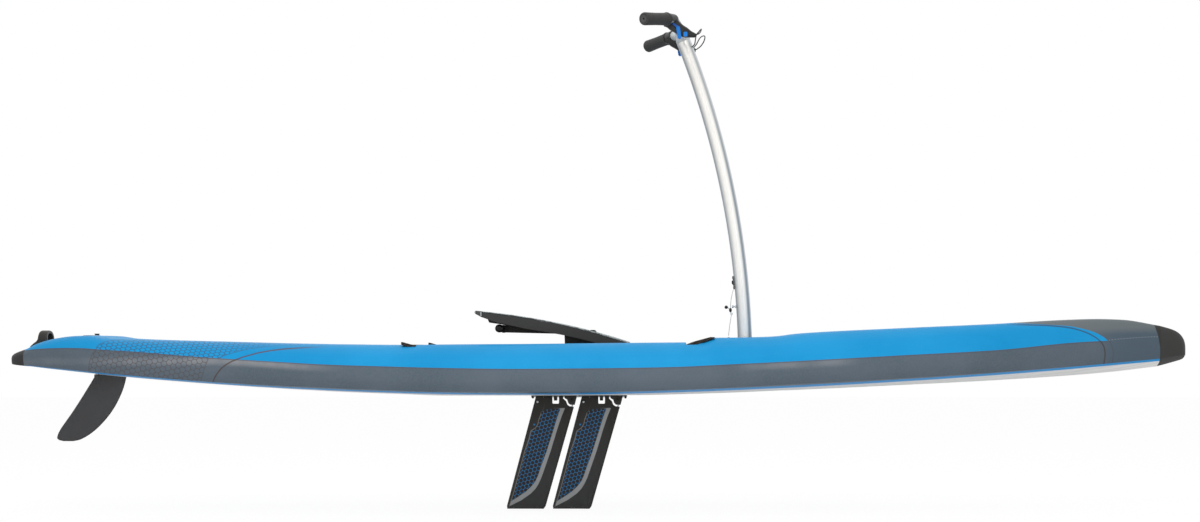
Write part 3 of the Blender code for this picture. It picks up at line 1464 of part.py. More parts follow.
def add_hood(side, way):
    """The lever housing clamped on the bar, tapering forward and down to its cable nose."""
    rear_x, nose_x = HOOD_ROWS[0][0], HOOD_ROWS[-1][0]
    rings = []
    for x, underside, top, half_width in HOOD_ROWS:
        share = (x - rear_x) / (nose_x - rear_x)
        out = HOOD_REAR_Y + (HOOD_NOSE_Y - HOOD_REAR_Y) * share
        middle, half_height = (underside + top) / 2, (top - underside) / 2
        ring = []
        for k in range(16):
            turn = math.tau * (k + 0.5) / 16
            across = math.copysign(abs(math.cos(turn)) ** 0.75, math.cos(turn)) * half_width
            up = math.copysign(abs(math.sin(turn)) ** 0.75, math.sin(turn)) * half_height
            ring.append((x, way * out + across, middle + up))
        rings.append(ring)
    hood = loft("lever_hood_" + side, rings, "black")
    bore = loft("cutter_hood_bore_" + side, bar_rings(BAR_RADIUS + GAP, 0.05, way))
    grip_end = Vector((GRIP_INNER[0], way * GRIP_INNER[1], GRIP_INNER[2]))
    grip_out = Vector((GRIP_OUTER[0], way * GRIP_OUTER[1], GRIP_OUTER[2]))
    back = (grip_end - grip_out).normalized()
    inner = Vector((CLAMP_INNER[0], way * CLAMP_INNER[1], CLAMP_INNER[2]))
    fuse(hood, rod("part_clamp_" + side, inner, grip_end, CLAMP_RADIUS, sides=20))
    grip_room = rod("cutter_grip_room_" + side, grip_end + back * 0.0006, grip_end - back * 0.05, GRIP_RADIUS + 0.0035)
    outer_face = LEVER_DISTANCE - 0.0035
    low, high = sorted((way * outer_face, way * (outer_face + 0.02)))
    lever_room = box("cutter_lever_room_" + side, (0.574, low, 1.070), (0.615, high, 1.1352))
    low, high = sorted((way * (outer_face - 0.0080), way * (outer_face + 0.02)))
    button_room = box(
        "cutter_button_room_" + side,
        (BUTTON_X - 0.0067, low, BUTTON_Z - 0.0077),
        (BUTTON_X + 0.0067, high, BUTTON_Z + 0.0077),
    )
    pivot_hole = rod(
        "cutter_lever_pivot_" + side,
        (LEVER_X, way * (outer_face - 0.008), LEVER_Z),
        (LEVER_X, way * (outer_face + 0.01), LEVER_Z),
        0.0028 + RUNNING,
        sides=14,
    )
    nose_start, nose_end = Vector(CABLE_ROUTES[side][0]), Vector(CABLE_ROUTES[side][1])
    nose_start.y *= way
    nose_end.y *= way
    ahead = (nose_end - nose_start).normalized() * 0.002
    cable_hole = rod(
        "cutter_hood_cable_" + side, nose_start - ahead, nose_end + ahead, CABLE_RADIUS + SLIDING, sides=12
    )
    cut(hood, bore, grip_room, lever_room, button_room, pivot_hole, cable_hole)


def add_steering_lever(side, way):
    pivot = "lever_" + side
    add_pivot(pivot, (LEVER_X, way * LEVER_DISTANCE, LEVER_Z))
    outline = disc_outline(LEVER_X + 0.0045, LEVER_Z - 0.0287, 0.0059, 190, 380, 8)
    outline += [(LEVER_X + 0.0072, LEVER_Z - 0.0060)]
    outline += disc_outline(LEVER_X, LEVER_Z, 0.0058, 20, 90, 3)
    outline += [
        (LEVER_X - 0.0150, LEVER_Z + 0.0155),
        (LEVER_X - 0.0185, LEVER_Z + 0.0120),
        (LEVER_X - 0.0165, LEVER_Z + 0.0095),
        (LEVER_X - 0.0060, LEVER_Z + 0.0010),
    ]
    inner = LEVER_DISTANCE - 0.0035 + GAP
    low, high = sorted((way * inner, way * (inner + 0.0050)))
    lever = prism("steering_lever_" + side, outline, low, high, "blue", pivot)
    stub = rod(
        "part_lever_stub_" + side,
        (LEVER_X, way * (inner - 0.0070), LEVER_Z),
        (LEVER_X, way * (inner + 0.001), LEVER_Z),
        0.0028,
        sides=14,
    )
    fuse(lever, stub)
    button_pivot = "button_" + side
    add_pivot(button_pivot, (BUTTON_X, way * LEVER_DISTANCE, BUTTON_Z))
    depth = LEVER_DISTANCE - 0.0035 - 0.0010
    button_low, button_high = sorted((way * (depth - 0.0030), way * depth))
    outline = rounded(BUTTON_X - 0.0061, BUTTON_Z - 0.0071, BUTTON_X + 0.0061, BUTTON_Z + 0.0071, 0.0022, 2)
    prism("lock_button_" + side, outline, button_low, button_high, "blue", button_pivot)


def add_cable(side, way):
    """The steering cable loops forward from the hood's nose and back into the mast."""
    route = smooth_route([(x, way * y, z) for x, y, z in CABLE_ROUTES[side]], 2)
    tube("steering_cable_" + side, route, CABLE_RADIUS, "black")


def add_lanyard():
    """The tether from the cleat on the mast down to the deck eye, with its bead, snap and pull ball."""
    level = 0.3500
    rear = mast_x(level) - MAST_RADIUS
    lean = (mast_x(0.371) - mast_x(0.328)) / 0.043
    cleat = [
        (0.3700, 0.0035),
        (0.3640, 0.0042),
        (0.3580, 0.0028),
        (0.3540, 0.0070),
        (0.3460, 0.0070),
        (0.3420, 0.0028),
        (0.3340, 0.0040),
        (0.3290, 0.0032),
    ]
    rear -= 2 * GAP
    outline = [(rear + lean * (z - level) - proud, z) for z, proud in cleat]
    outline += [(rear + lean * (z - level), z) for z in (0.3290, 0.3700)]
    prism("mast_cleat", outline, -0.0070, 0.0070, "black")
    eye_level = 0.2755
    eye_x = mast_x(eye_level) - MAST_RADIUS - 2 * GAP
    turned(
        "mast_eye",
        (eye_x - GAP, 0, eye_level),
        (eye_x - 0.0125, 0, eye_level),
        ((0, 0.0045), (0.15, 0.0045), (0.16, 0.0020), (0.55, 0.0020), (0.60, 0.0038), (0.95, 0.0042), (1, 0.0030)),
        "steel",
        sides=14,
    )
    line = 0.0009
    route = [(0.7683, 0, 0.3282), (0.7660, 0, 0.3200), (0.7625, 0, 0.3045), (0.7602, 0, 0.2870), (0.7594, 0, 0.2715)]
    tube("lanyard_upper", smooth_route(route, 2), line, "grey", sides=6)
    turned(
        "lanyard_bead",
        (0.7593, 0, 0.2712),
        (0.7592, 0, 0.2582),
        ((0, 0.0016), (0.12, 0.0032), (0.35, 0.0044), (0.65, 0.0044), (0.88, 0.0032), (1, 0.0016)),
        "black",
        sides=14,
    )
    snap = [(0.7580, 0.2579), (0.7610, 0.2579), (0.7660, 0.2560), (0.7672, 0.2520), (0.7640, 0.2490), (0.7605, 0.2490)]
    prism("lanyard_snap", snap, -0.0022, 0.0022, "steel")
    route = [
        (0.7620, 0.0, 0.2487),
        (0.7600, 0.0008, 0.2350),
        (0.7570, 0.0016, 0.2170),
        (0.7548, 0.0010, 0.1980),
        (0.7535, 0.0, 0.1845),
    ]
    tube("lanyard_lower", smooth_route(route, 2), line, "grey", sides=6)
    ball = turned(
        "pull_ball",
        (0.7461, -0.0052, 0.2735),
        (0.7461, 0.0052, 0.2735),
        ((0, 0.0014), (0.08, 0.0028), (0.25, 0.0045), (0.5, 0.0052), (0.75, 0.0045), (0.92, 0.0028), (1, 0.0014)),
        "black",
        sides=16,
    )
    cord = rod("part_ball_cord", (0.7490, 0, 0.2740), (0.7546, 0, 0.2690), 0.0009, sides=10)
    fuse(ball, cord)


def main():
    clear_scene()
    add_hull()
    add_end_caps()
    add_deck_pad()
    add_well_liner()
    add_latch_cams()
    add_drive_spine()
    add_idler()
    add_cranks()
    add_foot_pads()
    add_fins()
    add_rudder()
    add_tail_handle()
    add_mast()
    add_handlebar()
    add_lanyard()


main()
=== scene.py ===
"""Looks of the pedal paddle board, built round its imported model.

Metres, +X to the bow, +Y to port, +Z up, as in the model. Every piece is made where it lies.
"""

import json
from math import asin, copysign, cos, hypot, pi, radians, sin, sqrt, tau

import bmesh
import bpy
import numpy as np
from mathutils import Vector
from mathutils.bvhtree import BVHTree
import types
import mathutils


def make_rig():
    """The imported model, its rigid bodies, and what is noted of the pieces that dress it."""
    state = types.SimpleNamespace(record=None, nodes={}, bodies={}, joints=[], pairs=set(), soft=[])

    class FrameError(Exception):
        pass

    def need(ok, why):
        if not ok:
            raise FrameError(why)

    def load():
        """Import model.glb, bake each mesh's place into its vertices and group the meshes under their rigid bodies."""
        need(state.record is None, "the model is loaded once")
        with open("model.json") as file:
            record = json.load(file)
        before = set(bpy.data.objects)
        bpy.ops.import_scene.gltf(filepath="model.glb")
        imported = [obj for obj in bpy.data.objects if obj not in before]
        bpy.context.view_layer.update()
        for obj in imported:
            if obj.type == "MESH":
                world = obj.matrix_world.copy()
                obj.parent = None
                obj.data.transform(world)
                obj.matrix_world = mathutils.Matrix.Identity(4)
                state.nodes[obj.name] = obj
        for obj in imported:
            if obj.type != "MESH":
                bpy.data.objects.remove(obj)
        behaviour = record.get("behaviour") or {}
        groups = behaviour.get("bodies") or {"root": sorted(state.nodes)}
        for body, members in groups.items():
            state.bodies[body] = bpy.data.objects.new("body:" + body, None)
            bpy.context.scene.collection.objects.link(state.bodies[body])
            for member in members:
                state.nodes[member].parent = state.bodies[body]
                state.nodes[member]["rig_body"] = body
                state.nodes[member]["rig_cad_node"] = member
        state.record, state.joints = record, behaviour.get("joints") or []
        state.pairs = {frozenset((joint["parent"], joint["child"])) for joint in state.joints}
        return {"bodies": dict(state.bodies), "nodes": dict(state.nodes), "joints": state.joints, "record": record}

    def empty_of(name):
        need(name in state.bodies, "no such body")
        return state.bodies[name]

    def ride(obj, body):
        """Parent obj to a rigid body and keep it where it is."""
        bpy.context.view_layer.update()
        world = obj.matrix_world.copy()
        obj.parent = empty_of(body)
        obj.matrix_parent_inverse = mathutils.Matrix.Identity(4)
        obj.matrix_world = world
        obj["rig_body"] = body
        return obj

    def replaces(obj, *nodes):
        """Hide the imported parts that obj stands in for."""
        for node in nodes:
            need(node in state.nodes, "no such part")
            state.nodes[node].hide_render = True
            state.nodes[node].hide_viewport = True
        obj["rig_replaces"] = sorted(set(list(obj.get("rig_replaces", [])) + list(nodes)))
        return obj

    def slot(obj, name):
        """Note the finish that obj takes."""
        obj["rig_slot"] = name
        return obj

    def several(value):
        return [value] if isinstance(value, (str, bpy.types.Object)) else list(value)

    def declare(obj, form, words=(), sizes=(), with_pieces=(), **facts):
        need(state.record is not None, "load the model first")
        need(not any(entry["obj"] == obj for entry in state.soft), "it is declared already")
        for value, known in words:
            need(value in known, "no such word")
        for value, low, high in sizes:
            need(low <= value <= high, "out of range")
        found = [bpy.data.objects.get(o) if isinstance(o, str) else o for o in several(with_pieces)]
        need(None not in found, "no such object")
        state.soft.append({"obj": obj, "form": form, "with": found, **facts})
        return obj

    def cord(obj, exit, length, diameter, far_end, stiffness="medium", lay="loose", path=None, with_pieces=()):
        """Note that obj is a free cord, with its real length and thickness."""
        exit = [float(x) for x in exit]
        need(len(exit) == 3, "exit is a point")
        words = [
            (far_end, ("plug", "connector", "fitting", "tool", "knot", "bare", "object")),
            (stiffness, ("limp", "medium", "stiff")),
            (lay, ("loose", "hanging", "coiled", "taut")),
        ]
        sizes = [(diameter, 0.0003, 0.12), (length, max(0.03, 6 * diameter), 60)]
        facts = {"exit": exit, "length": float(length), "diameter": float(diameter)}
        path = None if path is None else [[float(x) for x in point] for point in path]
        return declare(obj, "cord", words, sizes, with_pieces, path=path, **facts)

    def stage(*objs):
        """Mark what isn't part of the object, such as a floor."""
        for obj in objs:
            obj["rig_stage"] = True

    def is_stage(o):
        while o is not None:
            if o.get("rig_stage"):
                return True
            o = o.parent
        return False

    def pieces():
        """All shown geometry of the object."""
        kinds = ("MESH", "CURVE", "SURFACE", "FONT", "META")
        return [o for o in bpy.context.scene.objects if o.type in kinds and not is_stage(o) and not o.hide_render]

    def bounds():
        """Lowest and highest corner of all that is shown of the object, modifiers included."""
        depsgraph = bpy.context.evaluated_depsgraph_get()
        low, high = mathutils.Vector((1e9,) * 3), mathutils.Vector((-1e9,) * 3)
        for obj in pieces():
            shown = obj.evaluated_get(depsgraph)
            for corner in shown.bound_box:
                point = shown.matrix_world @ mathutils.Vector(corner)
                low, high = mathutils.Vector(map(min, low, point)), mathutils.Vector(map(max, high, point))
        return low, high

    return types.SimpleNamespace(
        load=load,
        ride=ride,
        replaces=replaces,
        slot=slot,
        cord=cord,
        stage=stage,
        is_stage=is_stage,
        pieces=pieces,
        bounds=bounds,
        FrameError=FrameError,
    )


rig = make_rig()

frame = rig.load()
CAD_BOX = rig.bounds()

# The materials, by name
KIT = {}

SIDES = (("starboard", -1.0), ("port", 1.0))
GAP = 0.0003

# The camera of the photograph: its place, focal length and the pixel straight ahead, of 1200 x 522
CAMERA = Vector((0.6333, -6.1, 0.1464))
FOCAL = 1958.0
AHEAD_U, AHEAD_V = 690.0, 348.0
PHOTO_WIDTH, PHOTO_HEIGHT = 1200.0, 522.0

# Hull offsets: station x, half width, keel, chine, colour band, deck edge
OFFSETS = (
    (-1.395, 0.145, 0.0885, 0.0935, 0.1385, 0.144),
    (-1.364, 0.165, 0.0845, 0.091, 0.1415, 0.1575),
    (-1.33, 0.183, 0.0805, 0.088, 0.144, 0.168),
    (-1.29, 0.2, 0.076, 0.0855, 0.1455, 0.1765),
    (-1.24, 0.219, 0.0705, 0.0815, 0.1462, 0.1822),
    (-1.19, 0.235, 0.0655, 0.0775, 0.1455, 0.1836),
    (-1.13, 0.252, 0.059, 0.0715, 0.1415, 0.1757),
    (-1.0, 0.283, 0.0475, 0.0603, 0.134, 0.1703),
    (-0.85, 0.313, 0.036, 0.05, 0.122, 0.1663),
    (-0.6, 0.347, 0.02, 0.0365, 0.1065, 0.1598),
    (-0.42, 0.367, 0.0105, 0.029, 0.097, 0.1567),
    (-0.25, 0.381, 0.0045, 0.023, 0.092, 0.1552),
    (-0.12, 0.389, 0.0, 0.0185, 0.0885, 0.1578),
    (0.12, 0.399, 0.0, 0.0182, 0.0852, 0.1587),
    (0.3, 0.401, 0.0004, 0.0188, 0.0865, 0.1605),
    (0.48, 0.399, 0.0013, 0.0212, 0.0885, 0.1625),
    (0.61, 0.395, 0.0042, 0.0245, 0.0915, 0.1638),
    (0.656, 0.393, 0.0054, 0.0262, 0.0935, 0.1642),
    (0.68, 0.392, 0.0062, 0.0275, 0.0947, 0.1672),
    (0.706, 0.391, 0.007, 0.029, 0.096, 0.1766),
    (0.74, 0.389, 0.008, 0.0305, 0.0978, 0.1768),
    (0.86, 0.381, 0.013, 0.0363, 0.1035, 0.1794),
    (0.905, 0.377, 0.015, 0.0386, 0.1057, 0.1823),
    (0.96, 0.372, 0.017, 0.0415, 0.1086, 0.1894),
    (1.25, 0.334, 0.0303, 0.0565, 0.124, 0.2048),
    (1.55, 0.27, 0.0452, 0.0745, 0.14, 0.2185),
    (1.8, 0.197, 0.0607, 0.0915, 0.163, 0.2325),
    (1.88, 0.169, 0.067, 0.0975, 0.167, 0.2346),
    (1.96, 0.139, 0.0745, 0.1045, 0.1693, 0.2326),
    (2.082, 0.079, 0.089, 0.114, 0.171, 0.215),
)
TAIL_TIP = (-1.4615, 0.1095)
NOSE_TIP = (2.1725, 0.137)
FLAT_HALF_WIDTH = 0.05
MOST_FLAT_SHARE = 0.13
CHINE_SHARE = 0.945
SHOULDER_SHARE = 0.72
DECK_CROWN = 0.004
# Shares of the half width across the bottom, and of its width and height where the chine turns up
FINE_BOTTOM = tuple(0.16 + 0.8 * k / 14 for k in range(14))
CHINE_TURN = ((0.9665, 0.13), (0.986, 0.3), (0.9955, 0.45))
# Shares of the height of the upper side, and of the half width across the deck
FINE_TOP = (
    0.0, 0.08, 0.16, 0.25, 0.35, 0.45, 0.54, 0.63, 0.71, 0.78, 0.84, 0.89, 0.93, 0.96, 0.98, 0.993, 1.0,
)
DECK_SHARES = (0.62, 0.52, 0.42, 0.32, 0.22, 0.11, 0.0)

# Cockpit, its foam and the drive well
RECESS_FLOOR = 0.122
RECESS_HALF_WIDTH = 0.295
RECESS_REAR_X, RECESS_REAR_RAMP = -0.215, 0.065
RECESS_FRONT_X, RECESS_FRONT_RAMP = 0.7, 0.14
PAD_THICKNESS = 0.005
FLAP_INNER, FLAP_OUTER = 0.286, 0.318
WELL_REAR_X, WELL_FRONT_X, WELL_HALF_WIDTH = 0.132, 0.444, 0.057
LINER_FLANGE = 0.012
# The flaps by which the pad folds over the gunwales, rear then front: lower line, upper line
FLAPS = (
    (
        ((-0.22, 0.1564), (-0.2037, 0.1508), (-0.1778, 0.1502)),
        ((-0.1778, 0.1547), (-0.1946, 0.157), (-0.2161, 0.1632), (-0.22, 0.164)),
    ),
    (
        ((0.6212, 0.1562), (0.6557, 0.1567), (0.7065, 0.1771)),
        ((0.7065, 0.1787), (0.6929, 0.1787), (0.6489, 0.1668), (0.6354, 0.1623), (0.6212, 0.1567)),
    ),
)

# Graphics on the hull's side, and the line of a painted sheen, as lines in pixels of the photograph
COMB_BLUE = (
    (95.5, 352), (96.5, 347), (100, 343.8), (106, 341.4), (114, 340), (150, 339.6), (215, 341.2),
    (262, 343), (300, 343.8), (300, 344.8), (272, 346), (247, 349.2), (232, 353), (219, 357.6), (216, 362),
)
COMB_GREY = (
    (97, 346), (92.4, 354), (89.6, 361), (88.4, 371), (88.4, 392), (199, 392), (201, 380), (204.5, 368),
    (209, 357), (209, 346),
)
STERN_STRIPE = (
    (212, 385), (213.5, 380), (216, 375), (221, 368.5), (226, 364.6), (232, 361.2), (242.5, 357.2),
    (258, 352.9), (271, 350.5), (286, 348.8), (308, 347.4), (335, 346.4),
)
BOW_BLUE_EDGE = (
    (930, 319), (960, 320.5), (985, 321.9), (1004, 322.9), (1024, 323.6), (1040, 324.2), (1056, 325.2),
    (1071, 326.2), (1084, 329), (1092, 331.2), (1099, 334.2), (1105, 338), (1108.5, 341.5), (1111, 346),
    (1112, 352),
)
BOW_STRIPE = (
    (1000, 324.6), (1024, 324.8), (1046, 325.4), (1062.7, 326.8), (1073, 328.4), (1081, 330.6),
    (1089, 333.6), (1096, 337.6), (1101.2, 342), (1104, 346.5), (1105.2, 353), (1104.6, 360), (1102.5, 370),
)
LOW_LINE = (
    (15, 365.2), (30, 366.3), (60, 369.4), (110, 374.5), (150, 378.1), (210, 382.8), (250, 385.5),
    (290, 387.8), (350, 390.5), (410, 392.6), (470, 393.8), (520, 394.3), (570, 394.2), (640, 392.5),
    (700, 390.6), (740, 388.9), (800, 386.2), (860, 382.9), (900, 380.5), (940, 378), (980, 375.2),
    (1020, 372.2), (1060, 369), (1100, 365.4), (1162, 359.7),
)
# The line of the painted sheen, a painted highlight along the grey side
PAINTED_SHEEN_LINE = (
    (80, 361.5), (150, 361.2), (185, 361), (215, 360.8), (250, 362.4), (290, 365.2), (345, 368.2),
    (730, 367.4), (800, 364), (870, 360),
)
BOW_SEAM = ((1106, 340.4), (1120, 338.9), (1140, 337.4), (1158, 336.5))
NOSE_EDGE = (
    (1158, 372), (1158.4, 365.6), (1160.1, 358), (1160.3, 348), (1158, 335), (1154.2, 324.6), (1152, 318),
)
BOW_SECOND_STRIPE = (
    (1108, 338), (1110.6, 343), (1112.8, 349), (1113.4, 354), (1112.6, 362), (1111, 368),
)

# Cranks, rollers and pedals
CRANK_X, CRANK_Z = 0.3, 0.142
CRANK_INNER, CRANK_OUTER = 0.03, 0.046
SPINDLE_RADIUS = 0.007
IDLER_X = 0.381
ROLLER_X, ROLLER_Z, ROLLER_RADIUS = 0.0467, 0.2066, 0.0125
ROLLER_INNER, ROLLER_OUTER = 0.0615, 0.0835
FOOT_INNER, FOOT_OUTER, FOOT_WALL = 0.052, 0.182, 0.006
FOOT_ARC_RADIUS, FOOT_ARC_X, FOOT_ARC_Z = 1.984, -0.1819, -1.7178
FOOT_REAR_X, FOOT_CAP_X, FOOT_FRONT_X = -0.0185, 0.004, 0.483
FOOT_GRIP_THICKNESS = 0.004
RIB_PITCH, RIB_GROOVE = 0.02, 0.003
FOOT_HINGE_X, FOOT_HINGE_Z = 0.497, 0.1385
FOOT_DEPTHS = (
    (0.0045, 0.014),
    (0.047, 0.024),
    (0.1, 0.029),
    (0.144, 0.0315),
    (0.2, 0.0305),
    (0.2556, 0.029),
    (0.31, 0.028),
    (0.382, 0.0275),
    (0.42, 0.022),
    (0.46, 0.014),
    (0.483, 0.011),
)

# Fins
FIN_AXIS_Z, FIN_SPAN, FIN_TOP_Z = -0.004, 0.3475, -0.0068
FIN_TOP_CHORD, FIN_TIP_CHORD, FIN_TRAIL_RAKE = 0.1278, 0.1206, 0.0919
FIN_LEAD_HALF = 0.005
FIN_STARTS = (("aft", 0.1526), ("fore", 0.2956))
FIN_ROD_ENDS = (-0.018, -0.325)
# The window and the slot through a fin's top, from its start
FIN_OPENINGS = (
    ((0.0514, 0.02), (0.0522, -0.025), (0.0539, -0.027), (0.0708, -0.027), (0.0725, -0.025), (0.0733, 0.02)),
    (
        (0.0855, 0.02), (0.0855, -0.011), (0.0945, -0.019), (0.0985, -0.03), (0.105, -0.035), (0.13, -0.0385),
        (0.14, 0.02),
    ),
)
# Graphics on a fin, in pixels of the photograph
FIN_STRIPE = (
    (553.4, 408), (565, 408), (561.6, 416.3), (557.1, 429.6), (550.9, 450.2), (547.4, 460.4),
    (543.8, 470.7), (541.3, 477.8), (538.4, 484.1), (535.3, 489), (530.4, 493.9), (521.4, 500.2),
    (509.4, 506.3), (510.9, 501.4), (517.9, 497), (525.9, 491.6), (531.2, 486.6), (535.3, 481.4),
    (537.9, 475.8), (540.2, 468.9), (546.4, 452), (552.7, 432.3), (557.1, 418), (560.3, 408.9),
    (553.4, 408.5),
)
FIN_PANEL = (
    (541.8, 411.6), (547.5, 409.4), (553.4, 408.7), (560.4, 408.7), (557.1, 418), (552.7, 432.3),
    (546.4, 452), (540.2, 468.9), (535.3, 481.4), (531.2, 486.2), (525.9, 491.2), (517.9, 496.4),
    (511.4, 500.6), (514.6, 490.4), (525.3, 450.2), (529.3, 438.6), (531.1, 431.4), (535.7, 428.3),
    (538, 424.6), (539.2, 419.4), (540.4, 415.5),
)
FIN_LINE = (
    (541, 414), (538.8, 419.4), (537.8, 424.3), (535.5, 427.9), (530.8, 431), (529, 438.6), (525, 450.2),
    (519.6, 470.3), (514.3, 490.4), (510.6, 502), (509.4, 506.2),
)
FIN_DOT = (534.2, 424.6)

# Rudder blade rows: height, trailing edge x, leading edge x, half thickness
RUDDER_X, RUDDER_SEAT_DEPTH = -1.214, 0.0006
RUDDER_ROWS = (
    (0.0615, -1.2168, -1.1222, 0.007),
    (0.04, -1.2298, -1.1268, 0.0068),
    (0.0093, -1.25, -1.1362, 0.0064),
    (-0.0218, -1.27, -1.1502, 0.0059),
    (-0.053, -1.2903, -1.1689, 0.0053),
    (-0.0841, -1.3122, -1.1938, 0.0046),
    (-0.1075, -1.328, -1.2172, 0.0039),
    (-0.1231, -1.3357, -1.2374, 0.0033),
    (-0.134, -1.338, -1.2555, 0.0026),
    (-0.1403, -1.332, -1.27, 0.0019),
    (-0.1438, -1.318, -1.288, 0.0011),
)
# Its half thickness from the trailing edge to the leading one: share of the chord, share of the most
RUDDER_FOIL = ((0.1, 0.62), (0.35, 0.95), (0.62, 1.0), (0.84, 0.72), (0.96, 0.36), (1.0, 0.06))

# Tail handle
HANDLE_X, HANDLE_HALF, HANDLE_TOP = -1.3727, 0.038, 0.2012
# Its section: share of the half width, share of the thickness
HANDLE_SECTION = (
    (-1, 0.0), (-1, 0.4), (-1, 0.8), (-0.92, 0.9), (-0.78, 0.97), (-0.6, 1.0), (0, 1.0), (0.6, 1.0),
    (0.78, 0.97), (0.92, 0.9), (1, 0.8), (1, 0.4), (1, 0.0), (0.5, 0.04), (-0.5, 0.04),
)

# Mast and handlebar
MAST_FOOT_X, MAST_LEVEL_Z, MAST_BEND_RADIUS = 0.8055, 0.089, 2.757
MAST_RADIUS, MAST_BORE = 0.0222, 0.0197
MAST_BOTTOM_Z, MAST_TOP_Z, MAST_POCKET_Z = 0.075, 1.1, 0.166
BAR_RADIUS = 0.0145
BAR_ROUTE = (
    (0.606, 0.0, 1.125),
    (0.605, 0.03, 1.1255),
    (0.602, 0.06, 1.1275),
    (0.5975, 0.09, 1.131),
    (0.591, 0.12, 1.1375),
    (0.5825, 0.15, 1.1422),
    (0.574, 0.168, 1.1436),
    (0.5476, 0.2055, 1.1367),
    (0.506, 0.257, 1.1288),
)
GRIP_RADIUS = 0.019
GRIP_INNER = (0.564, 0.185, 1.1398)
GRIP_OUTER = (0.4949, 0.27, 1.1268)
# Share of a grip's length, more than its radius
GRIP_PROFILE = (
    (0, 0.0006), (0.005, 0.0016), (0.03, 0.002), (0.05, 0.0014), (0.06, 0.001), (0.1, 0.0), (0.3, -0.0004),
    (0.5, -0.0006), (0.7, -0.0002), (0.93, 0.0004), (0.965, 0.0001), (0.985, -0.0008), (0.995, -0.002),
    (1, -0.0034),
)
HOOD_REAR_Y, HOOD_NOSE_Y = 0.164, 0.149
CLAMP_INNER, CLAMP_RADIUS = (0.5825, 0.15, 1.1422), 0.0186
# Lever housing rows: x, underside, top, half width
HOOD_ROWS = (
    (0.554, 1.1215, 1.141, 0.011),
    (0.564, 1.118, 1.148, 0.0125),
    (0.571, 1.112, 1.1545, 0.0165),
    (0.5857, 1.1033, 1.1535, 0.017),
    (0.6, 1.0945, 1.1385, 0.0162),
    (0.612, 1.0903, 1.127, 0.015),
    (0.625, 1.0893, 1.119, 0.0128),
    (0.638, 1.0896, 1.1088, 0.011),
    (0.648, 1.09, 1.1035, 0.0095),
    (0.6515, 1.0915, 1.1015, 0.0075),
)
LEVER_X, LEVER_Z, LEVER_DISTANCE, LEVER_INSET = 0.597, 1.116, 0.1745, 0.0035
CABLE_RADIUS = 0.0018
# Each cable's line from its hood to the mast: x, distance from the centre, height
CABLE_ROUTES = {
    "starboard": (
        (0.644, 0.1505, 1.0975),
        (0.6525, 0.149, 1.099),
        (0.659, 0.1465, 1.1015),
        (0.6645, 0.136, 1.108),
        (0.6672, 0.12, 1.1165),
        (0.6676, 0.1, 1.1234),
        (0.6594, 0.08, 1.1175),
        (0.6527, 0.055, 1.1124),
        (0.6495, 0.031, 1.098),
        (0.6468, 0.02, 1.0885),
        (0.635, 0.008, 1.079),
        (0.627, 0.007, 1.076),
    ),
    "port": (
        (0.644, 0.1505, 1.0975),
        (0.6525, 0.149, 1.099),
        (0.66, 0.1465, 1.103),
        (0.669, 0.139, 1.11),
        (0.677, 0.124, 1.12),
        (0.6805, 0.105, 1.129),
        (0.679, 0.087, 1.132),
        (0.6725, 0.07, 1.129),
        (0.665, 0.054, 1.121),
        (0.659, 0.039, 1.109),
        (0.653, 0.025, 1.096),
        (0.645, 0.014, 1.085),
        (0.635, 0.008, 1.079),
        (0.627, 0.007, 1.076),
    ),
}

# The tether down the mast's rear face
TETHER_RADIUS = 0.0009
UPPER_TETHER = (
    (0.7683, 0, 0.3282), (0.766, 0, 0.32), (0.7625, 0, 0.3045), (0.7602, 0, 0.287), (0.7594, 0, 0.2715),
)
LOWER_TETHER = (
    (0.762, 0.0, 0.2487), (0.76, 0.0008, 0.235), (0.757, 0.0016, 0.217), (0.7548, 0.001, 0.198),
    (0.7535, 0.0, 0.1845),
)


def linear(channel):
    share = channel / 255
    return share / 12.92 if share <= 0.04045 else ((share + 0.055) / 1.055) ** 2.4


def rgb(red, green, blue):
    """A colour as seen, in sRGB, for a shader."""
    return (linear(red), linear(green), linear(blue), 1.0)


class Value:
    """A value in a shader. Each sum done with it adds a math node."""

    def __init__(self, shader, socket):
        self.shader = shader
        self.socket = socket

    def __add__(self, other):
        return self.shader.math("ADD", self, other)

    def __sub__(self, other):
        return self.shader.math("SUBTRACT", self, other)

    def __rsub__(self, other):
        return self.shader.math("SUBTRACT", other, self)

    def __mul__(self, other):
        return self.shader.math("MULTIPLY", self, other)

    def __truediv__(self, other):
        return self.shader.math("DIVIDE", self, other)

    def __mod__(self, other):
        return self.shader.math("FLOORED_MODULO", self, other)

    def __abs__(self):
        return self.shader.math("ABSOLUTE", self)

    def ramp(self, low, high, first=0, last=1):
        """The value, mapped from low..high to first..last and held at the ends."""
        made = self.shader.node("ShaderNodeMapRange", clamp=True, interpolation_type="SMOOTHSTEP")
        return self.shader.fed(made, (self, low, high, first, last))

    def near(self, full, none):
        """1 while the value is within full of zero, down to 0 where it is none away."""
        return abs(self).ramp(full, none, 1, 0)

    def blend(self, first, second, low=0.3, high=0.7):
        """The first colour below low, turning into the second one at high."""
        return self.shader.mix(self.ramp(low, high), first, second)


